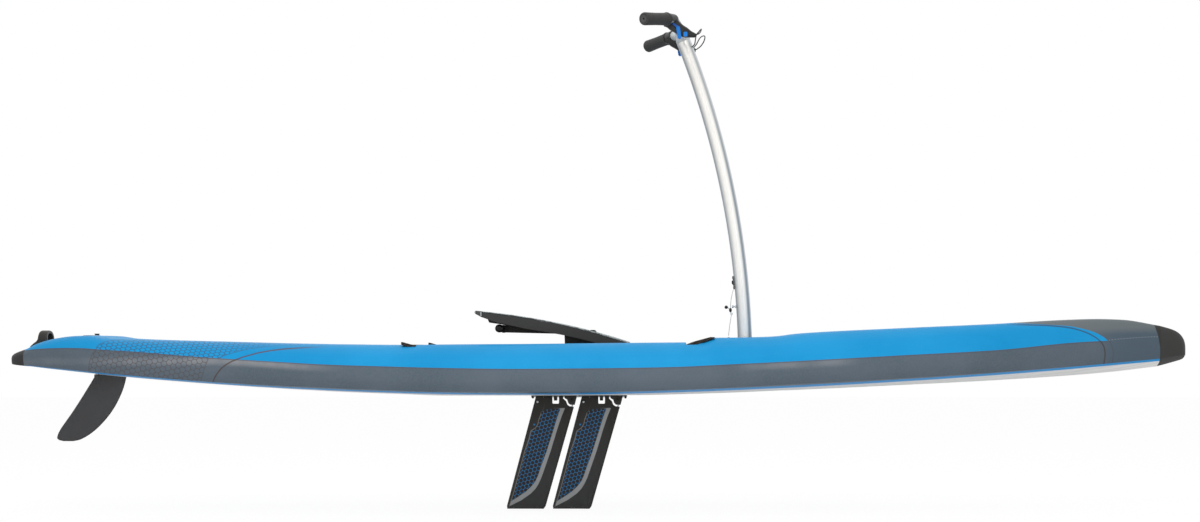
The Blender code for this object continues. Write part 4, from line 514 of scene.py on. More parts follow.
class Shader:
    """A Principled material, with short ways to add nodes. A colour is three sRGB numbers."""

    def __init__(self, name, colour, roughness=0.5, metallic=0.0, specular=0.2, slot=None):
        self.material = bpy.data.materials.new(name)
        self.material.use_nodes = True
        self.tree = self.material.node_tree
        self.inputs = self.tree.nodes["Principled BSDF"].inputs
        self.feed(self.inputs["Base Color"], colour)
        self.feed(self.inputs["Roughness"], roughness)
        self.feed(self.inputs["Metallic"], metallic)
        self.feed(self.inputs["Specular IOR Level"], specular)
        self.place = self.node("ShaderNodeTexCoord").outputs["Object"]
        self.relief = None
        self.slot = slot or name
        KIT[name] = self

    def node(self, kind, **settings):
        made = self.tree.nodes.new(kind)
        for key, value in settings.items():
            setattr(made, key, value)
        return made

    def feed(self, socket, value):
        value = getattr(value, "socket", value)
        if isinstance(value, bpy.types.NodeSocket):
            self.tree.links.new(value, socket)
        elif isinstance(value, tuple) and len(value) == 3:
            socket.default_value = rgb(*value)
        else:
            socket.default_value = value

    def fed(self, made, values, output=0):
        """A node's output, once its first inputs have their values."""
        for socket, value in zip(made.inputs, values):
            self.feed(socket, value)
        return Value(self, made.outputs[output])

    def math(self, operation, *values):
        return self.fed(self.node("ShaderNodeMath", operation=operation), values)

    def split(self):
        """The place as three values."""
        made = self.node("ShaderNodeSeparateXYZ")
        self.feed(made.inputs[0], self.place)
        return [Value(self, socket) for socket in made.outputs]

    def stretched(self, x, y, z):
        """The place with each direction scaled, for streaks."""
        made = self.node("ShaderNodeVectorMath", operation="MULTIPLY")
        made.inputs[1].default_value = (x, y, z)
        return self.fed(made, [self.place])

    def noise(self, scale, detail=2.0, vector=None):
        made = self.node("ShaderNodeTexNoise")
        made.inputs["Scale"].default_value = scale
        made.inputs["Detail"].default_value = detail
        return self.fed(made, [vector or self.place])

    def mix(self, share, first, second):
        made = self.node("ShaderNodeMix", data_type="RGBA", clamp_factor=True)
        self.feed(made.inputs["Factor"], share)
        self.feed(made.inputs[6], first)
        self.feed(made.inputs[7], second)
        return Value(self, made.outputs[2])

    def attribute(self, name):
        return Value(self, self.node("ShaderNodeAttribute", attribute_name=name).outputs["Fac"])

    def colour(self, value):
        self.feed(self.inputs["Base Color"], value)
        self.shown = value

    def roughness(self, value, first, last):
        self.feed(self.inputs["Roughness"], value.ramp(0.3, 0.7, first, last))

    def bump(self, height, depth):
        """Adds relief of this depth in metres. Later calls go on top of earlier ones."""
        made = self.node("ShaderNodeBump")
        made.inputs["Strength"].default_value = 1.0
        made.inputs["Distance"].default_value = depth
        self.feed(made.inputs["Height"], height)
        if self.relief:
            self.feed(made.inputs["Normal"], self.relief)
        self.relief = made.outputs[0]
        self.feed(self.inputs["Normal"], self.relief)

    def honeycomb(self, across, up, pitch, width, roundness):
        """1 on the walls of a honeycomb and 0 in its cells. Width is the wall's share of the pitch."""
        tall = sqrt(3)
        cells = []
        for shift in (0.0, 0.5):
            a = abs((across / pitch + shift) % 1.0 - 0.5)
            b = abs((up / pitch + shift * tall) % tall - tall / 2)
            flat = self.math("MAXIMUM", a, a * 0.5 + b * (tall / 2))
            far = self.math("SQRT", a * a + b * b)
            cells.append(flat * (1 - roundness) + far * roundness)
        edge = 0.5 - width / 2
        return self.math("MINIMUM", *cells).ramp(edge - 0.035, edge + 0.035)


def scaled(colour, share):
    return tuple(min(c * share, 1.0) for c in rgb(*colour)[:3]) + (1.0,)


def painted(name, colour, roughness=0.45, grain=0.00004, scale=900.0, shade=0.06, **more):
    """Moulded plastic or paint: a fine grain, with slow changes of shade and of gloss."""
    made = Shader(name, colour, roughness, **more)
    slow = made.noise(9, 3)
    made.colour(slow.blend(scaled(colour, 1 - shade), scaled(colour, 1 + shade), 0.35, 0.65))
    made.roughness(slow, roughness * 0.92, min(roughness * 1.08, 1.0))
    made.bump(made.noise(scale), grain)
    return made


def brushed(name, colour, roughness, streaks, slot=None):
    made = Shader(name, colour, roughness, metallic=0.9, slot=slot)
    lines = made.noise(1, 3, made.stretched(*streaks))
    made.colour(lines.blend(scaled(colour, 0.86), colour))
    made.roughness(lines, roughness * 0.8, roughness * 1.25)
    made.bump(lines, 0.00002)


def make_materials():
    black = {"slot": "moulded_black"}
    tread = {"slot": "tread_foam"}
    # Name, colour, roughness, depth and scale of the grain, change of shade
    for *row, more in (
        ("moulded_black", (47, 46, 44), 0.42, 0.00004, 900.0, 0.1, {}),
        ("drive_black", (42, 41, 38), 0.36, 0.00004, 900.0, 0.12, black),
        ("bumper_rubber", (62, 62, 61), 0.55, 0.0001, 500.0, 0.06, {}),
        # A darker copy of the bumper rubber for the tail cap: painted shade
        ("tail_rubber", (50, 49, 49), 0.6, 0.0001, 500.0, 0.06, {"slot": "bumper_rubber"}),
        ("cable_jacket", (52, 54, 53), 0.4, 0.00002, 1500.0, 0.05, {}),
        ("lanyard_cord", (190, 192, 192), 0.7, 0.00005, 2500.0, 0.1, {}),
        ("cast_alloy", (190, 195, 197), 0.42, 0.00008, 700.0, 0.04, {"metallic": 0.55}),
        ("pedal_black", (60, 60, 59), 0.5, 0.00006, 700.0, 0.05, black),
        ("tread_bed", (46, 46, 45), 0.7, 0.0001, 900.0, 0.08, tread),
        ("tread_toe", (112, 97, 90), 0.7, 0.0001, 900.0, 0.08, tread),
        ("crank_cover", (60, 61, 54), 0.45, 0.00006, 500.0, 0.08, black),
        ("gloss_black", (40, 40, 40), 0.16, 0.00001, 900.0, 0.06, black),
        ("hood_black", (48, 49, 48), 0.34, 0.00005, 1200.0, 0.08, black),
        ("handle_black", (56, 54, 50), 0.36, 0.00005, 800.0, 0.08, black),
        ("bar_alloy", (200, 204, 206), 0.42, 0.0001, 600.0, 0.04, {"metallic": 0.4, "slot": "mast_alloy"}),
        ("button_blue", (22, 130, 222), 0.3, 0.00002, 900.0, 0.04, {"slot": "lever_blue"}),
        ("end_cap_alloy", (78, 79, 78), 0.4, 0.00003, 900.0, 0.06, {"metallic": 0.2}),
        ("lever_blue", (26, 122, 212), 0.35, 0.00003, 900.0, 0.04, {}),
        ("grip_rubber", (62, 62, 61), 0.62, 0.00012, 1400.0, 0.07, {}),
        ("rudder_plastic_blade", (70, 70, 71), 0.42, 0.00005, 700.0, 0.04, {"slot": "rudder_plastic"}),
    ):
        painted(*row, **more)
    brushed("stainless", (178, 184, 188), 0.3, (400.0, 40.0, 400.0))
    brushed("warm_steel", (160, 152, 148), 0.4, (60.0, 60.0, 60.0), "stainless")
    # The end caps' rear edge painted brighter: a painted highlight on the rounded tip
    made = KIT["end_cap_alloy"]
    tip = made.split()[0].ramp(FOOT_REAR_X + 0.0018, FOOT_REAR_X + 0.004, 1, 0)
    made.colour(made.mix(tip, made.shown, (170, 176, 178)))
    # The levers' upper ends painted darker: painted shade where they sit in the hood's recess
    made = KIT["lever_blue"]
    top = made.split()[2].ramp(LEVER_Z - 0.001, LEVER_Z + 0.006)
    made.colour(made.mix(top, made.shown, (38, 84, 160)))
    # The shade near the hull on the rudder's top
    made = KIT["rudder_plastic_blade"]
    top = made.split()[2].ramp(0, 0.07)
    made.colour(made.mix(top * 0.55, made.shown, (52, 52, 53)))
    # The grips' lighter end face, with a groove round it and a small hole, both painted darker as painted shade
    made = KIT["grip_rubber"]
    out = made.attribute("end_radius")
    base = made.mix(out.ramp(15.4, 16, 1, 0), made.shown, (80, 80, 79))
    groove = out.ramp(11.6, 12.2) * out.ramp(13.6, 14.2, 1, 0)
    base = made.mix(groove * 0.8, base, (40, 40, 39))
    made.colour(made.mix(out.ramp(2.4, 3.2, 1, 0), base, (22, 22, 22)))
    hull_shader()
    foam_shader()
    tread_shader()
    tube_shader()


def hull_shader():
    """Blue deck over a charcoal side and a white bottom, with honeycomb panels and thin pinstripes, and painted light:
    a painted sheen along the side and a lighter top to the bow.
    """
    made = Shader("hull_skin", (38, 158, 219), 0.42, specular=0.07)
    u, v, above, low = (made.attribute(name) for name in ("photo_u", "photo_v", "above_band", "low"))
    fine = made.noise(240, 3)
    slow = made.noise(5, 3)
    # Plain colours
    blue = slow.blend((28, 150, 211), (36, 157, 218))
    grey = slow.blend((84, 97, 108), (94, 106, 118))
    grey = made.mix(fine.ramp(0.3, 0.7, 0, 0.5), grey, (104, 112, 119))
    grey = made.mix(made.noise(700).ramp(0.62, 0.72) * 0.25, grey, (128, 132, 134))
    grey = made.mix(u.ramp(1090, 1118) * 0.8, grey, (84, 100, 113))
    # Painted light: the upper grey of the bow, which faces up, is painted lighter
    painted_bow_top_light = above.ramp(5, 14) * u.ramp(990, 1015)
    grey = made.mix(painted_bow_top_light, grey, (112, 120, 124))
    # Painted sheen: a highlight painted along the side, at the stern and a little at the bow
    sheen = made.attribute("sheen").near(0.2, 6.5)
    at_stern = u.ramp(88, 150, 0.3, 1) * u.ramp(300, 350, 1, 0)
    at_bow = u.ramp(730, 760, 0, 0.6) * u.ramp(835, 865, 1, 0)
    patches = made.noise(9, 3, made.stretched(1, 0.2, 1)).ramp(0.34, 0.66, 0.2, 0.52)
    grey = made.mix(sheen * (at_stern + at_bow) * patches, grey, (168, 168, 170))
    # Honeycomb at the stern, unrolled so that it keeps its size where the side turns into the deck
    rise = made.math("MAXIMUM", above, 0.0)
    down = (rise * 1.45 + rise * rise * 0.035 + made.math("MINIMUM", above, 0.0)) * -1.0
    lean = radians(17.0)
    along = u * cos(lean) - down * sin(lean)
    across = u * sin(lean) + down * cos(lean)

    def comb(name, width, roundness, rim):
        within = made.attribute(name)
        walls = within.ramp(-0.3, 0.3) * made.honeycomb(along, across, 5.5, width, roundness)
        return made.math("MAXIMUM", walls, within.near(0.2, 0.6) * rim)

    fade = u.ramp(215, 290, 1, 0.25) * v.ramp(339, 344, 0.45, 1)
    on_blue = comb("comb_blue", 0.15, 0.6, 0.8) * fade * made.attribute("off_centre")
    blue = made.mix(on_blue * 0.85, blue, (66, 92, 128))
    grey = made.mix(comb("comb_grey", 0.1, 0.35, 0.7) * 0.75, grey, (90, 78, 72))
    # Pinstripes at the stern and the bow, and the bow's dashed seam
    stripe = made.attribute("stern_stripe").near(0.4, 1)
    stripe = stripe * u.ramp(285, 335, 1, 0) * u.ramp(211.5, 212.5)
    blue = made.mix(stripe * 0.9, blue, (92, 84, 98))
    grey = made.mix(stripe * 0.85, grey, (86, 72, 68))
    bow = made.attribute("bow_stripe").near(0.35, 0.95) * u.ramp(998, 1030)
    blue = made.mix(bow * 0.85, blue, (62, 84, 112))
    grey = made.mix(bow * 0.75, grey, (74, 66, 62))
    ends = v.ramp(338, 339) * u.ramp(1100, 1104)
    second = made.attribute("bow_second").near(0.25, 0.65) * ends
    grey = made.mix(second * 0.35, grey, (70, 66, 64))
    dashes = (u % 3.0).ramp(1.4, 1.8) * u.ramp(1106, 1110)
    seam = made.attribute("bow_seam").near(0.2, 0.6) * dashes
    grey = made.mix(seam * 0.75, grey, (142, 152, 160))
    # Where each colour lies
    bow_blue = made.attribute("bow_blue").ramp(-0.25, 0.25)
    colour = made.mix(above.ramp(-0.22, 0.22) * bow_blue, grey, blue)
    edge = (above + 0.35).near(0.25, 0.75) * bow_blue
    colour = made.mix(edge * 0.55, colour, (84, 80, 88))
    streaks = made.noise(1, 2, made.stretched(1.2, 60, 1))
    bottom = streaks.blend((228, 229, 228), (242, 242, 240), 0.35, 0.65)
    colour = made.mix(low.ramp(0.3, 0.9), colour, bottom)
    far = abs(low) - u.ramp(150, 900, 0.6, 1.05)
    line = far.ramp(-0.25, 0.3, 1, 0) * u.ramp(20, 130, 0.6, 1)
    colour = made.mix(line, colour, (28, 150, 222))
    nose = made.attribute("nose_edge").ramp(-0.25, 0.25)
    made.colour(made.mix(nose, colour, (64, 64, 63)))
    made.roughness(fine, 0.38, 0.48)
    made.bump(made.noise(420, 3), 0.00005)
    made.bump(made.noise(26), 0.00025)


def foam_shader():
    """Closed-cell foam, grooved along the board, with slanting grooves on the flaps. The grooves along the board are
    painted darker, as painted shade.
    """
    made = Shader("deck_foam", (47, 41, 36), 0.85)
    x, y, z = made.split()
    fine = made.noise(1500)
    inner = y.near(0.284, 0.286)
    groove = (y % 0.0125 - 0.00625).near(0.0006, 0.0012) * inner
    slant = x * 0.8 - z * 1.2
    mark = (slant % 0.0125 - 0.00625).near(0.0008, 0.002) * (1.0 - inner)
    base = made.mix(mark * 0.45, fine.blend((42, 36, 31), (56, 48, 42)), (104, 92, 84))
    # Painted shade: the grooves along the board painted darker
    made.colour(made.mix(groove, base, (26, 23, 21)))
    made.bump(1.0 - made.math("MAXIMUM", groove, mark), 0.0012)
    made.bump(fine, 0.00015)


def tread_shader():
    """Light ribs of the tread with a fine knurl, darker in patches on the outer side."""
    made = Shader("tread_foam", (190, 200, 203), 0.5, specular=0.3)
    x, y, _ = made.split()
    light = made.noise(900).blend((170, 181, 184), (198, 206, 208), 0.35, 0.65)
    whole = made.noise(1, 2, made.stretched(75, 25, 25)).ramp(0.42, 0.58)
    outer_side_dark_patches = (1.0 - whole) * abs(y).ramp(0.172, 0.174, 0, 0.85)
    made.colour(made.mix(outer_side_dark_patches, light, (104, 109, 110)))
    made.bump(made.math("SINE", x * 2400.0) * made.math("SINE", y * 2400.0), 0.0003)


def fin_shader(name):
    """Black elastomer with a printed panel: blue honeycomb, a grey stripe and a thin grey line. Painted shade makes it
    darker near the hull and lighter further down.
    """
    made = Shader(name, (50, 49, 47), 0.42, specular=0.15, slot="fin_elastomer")
    fine = made.noise(1200)
    # Painted shade: the fin darker near the hull above it, lighter further down
    base = made.attribute("depth").blend((42, 40, 37), (54, 54, 53), 398, 500)
    base = made.mix(fine.ramp(0.3, 0.7, 0, 0.25), base, (60, 60, 58))
    comb = made.honeycomb(made.attribute("along"), made.attribute("across"), 4.04, 0.08, 0.85)
    cells = made.mix(comb, (44, 35, 31), made.noise(60).blend((28, 116, 172), (42, 128, 182)))
    base = made.mix(made.attribute("panel").ramp(-0.2, 0.25), base, cells)
    base = made.mix(made.attribute("thin_line").near(0.2, 0.65) * 0.9, base, (122, 116, 110))
    stripe = fine.blend((146, 146, 145), (160, 160, 159))
    base = made.mix(made.attribute("stripe").ramp(-0.2, 0.2), base, stripe)
    made.colour(made.mix(made.attribute("dot").ramp(0.9, 1.3, 1, 0), base, (36, 118, 178)))
    made.roughness(fine, 0.38, 0.5)
    made.bump(fine, 0.00006)


def tube_shader():
    """Satin anodised tube with faint drawing streaks along it, with painted highlights and painted shade in bands
    round it: light bands as painted reflections, darker at its aft edge and on its front side, most low down. Its
    share runs from -1 aft to 1 forward.
    """
    made = Shader("mast_alloy", (227, 228, 228), 0.33, metallic=0.35, specular=0.5)
    share = made.attribute("share")
    # Painted highlights and painted shade in bands round the tube, from its aft edge forward
    base = (156, 164, 170)
    for low, high, colour in (
        (-0.99, -0.62, (228, 227, 223)),
        (-0.66, -0.42, (252, 249, 243)),
        (-0.3, -0.12, (232, 230, 225)),
        (0.02, 0.2, (250, 247, 241)),
    ):
        base = share.blend(base, colour, low, high)
    # Painted shade: darker on the front side, most low down
    dark = made.split()[2].ramp(0.5, 1.05, 1, 0.55)
    base = made.mix(dark * share.ramp(0.38, 0.56), base, (170, 178, 183))
    base = made.mix(dark * share.ramp(0.56, 0.68), base, (140, 150, 158))
    base = share.blend(base, (208, 212, 214), 0.74, 0.92)
    streak = made.noise(14, 3, made.fed(made.node("ShaderNodeCombineXYZ"), [share]))
    made.colour(made.mix(streak.ramp(0.35, 0.65, 0, 0.1), base, (200, 204, 205)))
    grain = made.noise(1, 2, made.stretched(900, 900, 30))
    made.roughness(grain, 0.28, 0.4)
    made.bump(grain, 0.00002)


# Mesh making


def add_object(name, data):
    made = bpy.data.objects.new(name, data)
    bpy.context.scene.collection.objects.link(made)
    return made


def object_from(work, name):
    """An object from a finished bmesh."""
    mesh = bpy.data.meshes.new(name)
    work.to_mesh(mesh)
    work.free()
    return add_object(name, mesh)


def new_object(name, points, faces):
    mesh = bpy.data.meshes.new(name)
    mesh.from_pydata([tuple(p) for p in points], [], faces)
    work = bmesh.new()
    work.from_mesh(mesh)
    bmesh.ops.recalc_face_normals(work, faces=work.faces)
    work.to_mesh(mesh)
    work.free()
    return add_object(name, mesh)


def loft(name, rings, hollow=False):
    """A skin through rings of as many points each. Its ends are closed, or meet if it is hollow."""
    sides = len(rings[0])
    points = [p for ring in rings for p in ring]
    faces = [] if hollow else [tuple(range(sides)), tuple(range(len(points) - sides, len(points)))]
    for i in range(len(rings) if hollow else len(rings) - 1):
        for j in range(sides):
            a = i * sides + j
            b = i * sides + (j + 1) % sides
            shift = sides if i < len(rings) - 1 else -i * sides
            faces.append((a, b, b + shift, a + shift))
    return new_object(name, points, faces)


def prism(name, outline, low, high, axis="Y"):
    """An outline in XZ drawn out along Y, or one in XY drawn out along Z."""
    if axis == "Y":
        return loft(name, [[(x, at, z) for x, z in outline] for at in (low, high)])
    return loft(name, [[(x, y, at) for x, y in outline] for at in (low, high)])


def slab(name, outline, way, near, far):
    """An outline in XZ drawn out between two distances from the centreline, on one side of it."""
    return prism(name, outline, *sorted((way * near, way * far)))


def spread(first, last, steps):
    """Even stations from first to last, with both."""
    return [first + (last - first) * k / steps for k in range(steps + 1)]


def rect(x0, z0, x1, z1):
    return ((x0, z0), (x1, z0), (x1, z1), (x0, z1))


def frame_of(direction):
    direction = Vector(direction).normalized()
    guide = Vector((0, 0, 1)) if abs(direction.z) < 0.9 else Vector((1, 0, 0))
    side = direction.cross(guide).normalized()
    return side, direction.cross(side)


def around(sides):
    """The turns of a ring's points, as (cosine, sine)."""
    return [(cos(tau * k / sides), sin(tau * k / sides)) for k in range(sides)]


def turned(name, start, end, profile, sides=48):
    """A solid turned about the line from start to end. The profile lists (share along it, radius)."""
    start = Vector(start)
    along = Vector(end) - start
    side, up = frame_of(along)
    rings = []
    for share, radius in profile:
        centre = start + along * share
        rings.append([centre + (side * c + up * s) * radius for c, s in around(sides)])
    return loft(name, rings)


def rod(name, start, end, radius, sides=48):
    return turned(name, start, end, ((0, radius), (1, radius)), sides)


def axle(name, x, z, first, last, radius, sides=48):
    """A rod along Y."""
    return rod(name, (x, first, z), (x, last, z), radius, sides)


def post(name, x, low, high, radius, sides=48):
    """A rod along Z, on the centreline."""
    return rod(name, (x, 0, low), (x, 0, high), radius, sides)


def mirrored(rows):
    """The rows of a profile, then the same ones back to its other end."""
    return [*rows, *((1 - share, radius) for share, radius in reversed(rows))]


def disc_outline(x, z, radius, first=0, last=360, steps=24):
    """Points of an arc in XZ, in degrees from +X towards +Z."""
    turns = [radians(first + (last - first) * k / steps) for k in range(steps + 1)]
    return [(x + radius * cos(a), z + radius * sin(a)) for a in turns]


def rounded(low_a, low_b, high_a, high_b, radius, steps=8):
    """A rectangle with round corners."""
    left, right, low, high = low_a + radius, high_a - radius, low_b + radius, high_b - radius
    outline = []
    for a, b, turn in ((right, high, 0), (left, high, 90), (left, low, 180), (right, low, 270)):
        outline += disc_outline(a, b, radius, turn, turn + 90, steps)
    return outline


def smooth_route(points, per_span=4):
    """Points on a smooth curve through the given ones (Catmull-Rom)."""
    ends = [2 * Vector(points[0]) - Vector(points[1])]
    ends += [Vector(p) for p in points]
    ends.append(2 * Vector(points[-1]) - Vector(points[-2]))
    route = []
    for i in range(1, len(ends) - 2):
        a, b, c, d = ends[i - 1 : i + 3]
        for k in range(per_span):
            t = k / per_span
            bend = (2 * a - 5 * b + 4 * c - d) * t**2 + (3 * b - a - 3 * c + d) * t**3
            route.append(0.5 * (2 * b + (c - a) * t + bend))
    route.append(ends[-2])
    return route


def swept_rings(route, radius, sides):
    """Round rings square to a route, with no twist between them."""
    rings = []
    side = None
    for i, place in enumerate(route):
        along = (route[min(i + 1, len(route) - 1)] - route[max(i - 1, 0)]).normalized()
        if side is None:
            side, _ = frame_of(along)
        side = (side - along * side.dot(along)).normalized()
        up = along.cross(side)
        rings.append([place + (side * c + up * s) * radius for c, s in around(sides)])
    return rings


def boolean(target, operation, others):
    """The Boolean of a piece with others, which are used up."""
    for other in others:
        modifier = target.modifiers.new(operation, "BOOLEAN")
        modifier.operation = operation
        modifier.solver = "EXACT"
        modifier.object = other
    bpy.context.view_layer.update()
    graph = bpy.context.evaluated_depsgraph_get()
    mesh = bpy.data.meshes.new_from_object(target.evaluated_get(graph))
    target.modifiers.clear()
    target.data = mesh
    for other in others:
        bpy.data.objects.remove(other)


def cut(target, *others):
    boolean(target, "DIFFERENCE", others)


def fuse(target, *others):
    boolean(target, "UNION", others)


def joined(name, parts):
    """Separate shells kept in one object."""
    work = bmesh.new()
    for part in parts:
        work.from_mesh(part.data)
    made = object_from(work, name)
    for part in parts:
        bpy.data.objects.remove(part)
    return made


def ride(made, body, finish, nodes):
    """Gives a piece its material and slot, its body and the model's nodes that it stands for."""
    made.data.materials.clear()
    made.data.materials.append(KIT[finish].material)
    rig.ride(made, body)
    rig.slot(made, KIT[finish].slot)
    if nodes:
        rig.replaces(made, *nodes)


def piece(made, body, finish, *nodes, bevel=0.0, angle=35, segments=2):
    """Finishes a piece, with smooth faces and round edges."""
    made.data.shade_smooth()
    made.data.set_sharp_from_angle(angle=radians(angle))
    if bevel:
        edge = made.modifiers.new("edge", "BEVEL")
        edge.width = bevel
        edge.segments = segments
        edge.limit_method = "ANGLE"
        edge.angle_limit = radians(angle)
        edge.use_clamp_overlap = True
        even = made.modifiers.new("even", "WEIGHTED_NORMAL")
        even.keep_sharp = True
    ride(made, body, finish, nodes)
    return made


def refined(node, body, finish, bevel=0.0005):
    """A copy of a node of the model with its flat faces whole and its edges rounded."""
    work = bmesh.new()
    work.from_mesh(frame["nodes"][node].data)
    bmesh.ops.remove_doubles(work, verts=work.verts, dist=1e-6)
    bmesh.ops.dissolve_limit(work, angle_limit=radians(0.6), verts=work.verts, edges=work.edges)
    made = object_from(work, "shaped_" + node)
    normals = made.data.attributes.get("custom_normal")
    if normals:
        made.data.attributes.remove(normals)
    return piece(made, body, finish, node, bevel=bevel, angle=30)


# Hull


class SteadyCurve:
    """One column of a table, read through a monotone cubic so that no bump shows between its rows."""

    def __init__(self, rows, column):
        self.xs = [row[0] for row in rows]
        self.ys = [row[column] for row in rows]
        spans = list(zip(self.xs, self.ys, self.xs[1:], self.ys[1:]))
        slopes = [(y1 - y0) / (x1 - x0) for x0, y0, x1, y1 in spans]
        self.tangents = [slopes[0]]
        for before, after in zip(slopes, slopes[1:]):
            self.tangents.append(2 * before * after / (before + after) if before * after > 0 else 0.0)
        self.tangents.append(slopes[-1])

    def at(self, x):
        xs, ys, tangents = self.xs, self.ys, self.tangents
        x = min(max(x, xs[0]), xs[-1])
        i = min(max(sum(x >= station for station in xs) - 1, 0), len(xs) - 2)
        width = xs[i + 1] - xs[i]
        t = (x - xs[i]) / width
        return (
            ys[i] * (1 + 2 * t) * (1 - t) ** 2
            + tangents[i] * width * t * (1 - t) ** 2
            + ys[i + 1] * t**2 * (3 - 2 * t)
            + tangents[i + 1] * width * t**2 * (t - 1)
        )


CURVES = [SteadyCurve(OFFSETS, column) for column in range(1, 6)]


def half_section(x):
    """Half of the hull's section at x, from the keel to the middle of the deck, as (y, z)."""
    half, keel, chine, band, deck = (curve.at(x) for curve in CURVES)
    flat = min(FLAT_HALF_WIDTH / half, MOST_FLAT_SHARE)
    points = [(share * flat * half, keel) for share in (0.0, 0.5, 1.0)]
    for share in (*FINE_BOTTOM, 0.93, CHINE_SHARE):
        rise = (max(share - flat, 0.0) / (CHINE_SHARE - flat)) ** 1.6
        points.append((share * half, keel + (chine - keel) * rise))
    for share, rise in CHINE_TURN:
        points.append((share * half, chine + rise * (band - chine)))
    widest = chine + 0.6 * (band - chine)
    for share in FINE_TOP:
        inward = (1 - share**2.6) ** (1 / 1.8)
        y = half * (SHOULDER_SHARE + (1 - SHOULDER_SHARE) * inward)
        points.append((y, widest + share * (deck - widest)))
    for share in DECK_SHARES:
        points.append((share * half, deck + DECK_CROWN * (1 - share**2) * (1 - SHOULDER_SHARE)))
    return points


def ring_at(x, half_points):
    """A whole ring of the hull from half of its section."""
    right = [(x, -y, z) for y, z in half_points]
    left = [(x, y, z) for y, z in half_points[1:-1]]
    return right + left[::-1]


def deck_height(x, y=0.0):
    points = half_section(x)[-(len(DECK_SHARES) + len(FINE_TOP)) :]
    for (y0, z0), (y1, z1) in zip(points, points[1:]):
        if y1 <= abs(y) <= y0:
            return z1 + (z0 - z1) * (abs(y) - y1) / max(y0 - y1, 1e-9)
    return points[-1][1]


def end_rings(edge_x, tip, roundness, taper, climb):
    """The rings of a rounded hull end. A higher roundness is a squarer end."""
    edge = half_section(edge_x)
    middle = (edge[0][1] + edge[-1][1]) / 2
    rings = []
    for k in range(25):
        share = sin(pi / 2 * k / 24 * 0.9) / sin(pi / 2 * 0.9) * 0.985
        size = (1 - share**roundness) ** (1.5 / (roundness + 1)) * (1 - taper * share)
        rise = (tip[1] - middle) * share**climb
        x = edge_x + (tip[0] - edge_x) * share
        rings.append(ring_at(x, [(y * size, middle + rise + (z - middle) * size) for y, z in edge]))
    return rings


def points_of(mesh):
    points = np.empty(len(mesh.vertices) * 3, np.float32)
    mesh.vertices.foreach_get("co", points)
    return points.reshape(-1, 3).astype(np.float64)


def pixels_of(points):
    """Where the photograph shows points of the starboard side. Port points are mirrored first."""
    scale = FOCAL / (-np.abs(points[:, 1]) - CAMERA.y)
    u = AHEAD_U + (points[:, 0] - CAMERA.x) * scale
    v = AHEAD_V - (points[:, 2] - CAMERA.z) * scale
    return u, v, scale


def distance_to(line, u, v):
    """Least distance of each point to a line, in pixels, and its side: positive is on its right hand."""
    places = np.stack([u, v], axis=1)
    least = np.full(len(u), 1e9)
    hand = np.zeros(len(u))
    for a, b in zip(np.array(line, float), np.array(line[1:], float)):
        along = b - a
        t = np.clip(((places - a) @ along) / (along @ along), 0, 1)
        offset = places - (a + t[:, None] * along)
        far = np.hypot(offset[:, 0], offset[:, 1])
        cross = along[0] * (places[:, 1] - a[1]) - along[1] * (places[:, 0] - a[0])
        nearer = far < least
        least = np.where(nearer, far, least)
        hand = np.where(nearer, np.sign(cross), hand)
    return least, hand


def signed_to(line, u, v):
    """Distance to a line, positive on its right hand: it stays true between mesh points."""
    least, hand = distance_to(line, u, v)
    return least * hand


def inside(outline, u, v):
    """Signed distance to a closed outline, in pixels: positive within it."""
    outline = outline + outline[:1]
    least, _ = distance_to(outline, u, v)
    within = np.zeros(len(u), bool)
    for (u0, v0), (u1, v1) in zip(outline, outline[1:]):
        crosses = (v0 > v) != (v1 > v)
        at = u0 + (v - v0) * (u1 - u0) / (v1 - v0 if v1 != v0 else 1e-9)
        within ^= crosses & (u < at)
    return np.where(within, least, -least)


def below(line, u, v):
    return v - np.interp(u, *zip(*line))


def store(mesh, **values_by_name):
    """Stores a value on each point for each name, for the shaders to read."""
    for name, values in values_by_name.items():
        made = mesh.attributes.new(name, "FLOAT", "POINT")
        made.data.foreach_set("value", np.asarray(values, np.float32))


def mark_hull(mesh):
    """Stores on each point of the hull how far it lies from each line of the graphics and from the line of the painted
    sheen.
    """
    points = points_of(mesh)
    x, y, z = points.T
    half, chine, band = (np.array([CURVES[k].at(at) for at in x]) for k in (0, 2, 3))
    u, v, scale = pixels_of(points)
    above = (z - band) * scale
    low = below(LOW_LINE, u, v)
    under = (z < chine) & (np.abs(y) < 0.55 * half)
    store(
        mesh,
        above_band=np.where(np.abs(y) > 0.7 * half, above, np.maximum(above, 3.0)),
        low=np.where(under, np.maximum(low, 3.0), low),
        sheen=below(PAINTED_SHEEN_LINE, u, v),
        bow_blue=np.where(x > 1.2, signed_to(BOW_BLUE_EDGE, u, v), 8.0),
        bow_stripe=signed_to(BOW_STRIPE, u, v),
        bow_second=signed_to(BOW_SECOND_STRIPE, u, v),
        bow_seam=signed_to(BOW_SEAM, u, v),
        nose_edge=signed_to(NOSE_EDGE, u, v),
        stern_stripe=signed_to(STERN_STRIPE, u, v),
        comb_blue=inside(COMB_BLUE, u, v),
        off_centre=np.clip((np.abs(y) / half - 0.52) / 0.16, 0.0, 1.0),
        comb_grey=inside(COMB_GREY, u, v),
        photo_u=u,
        photo_v=v,
    )


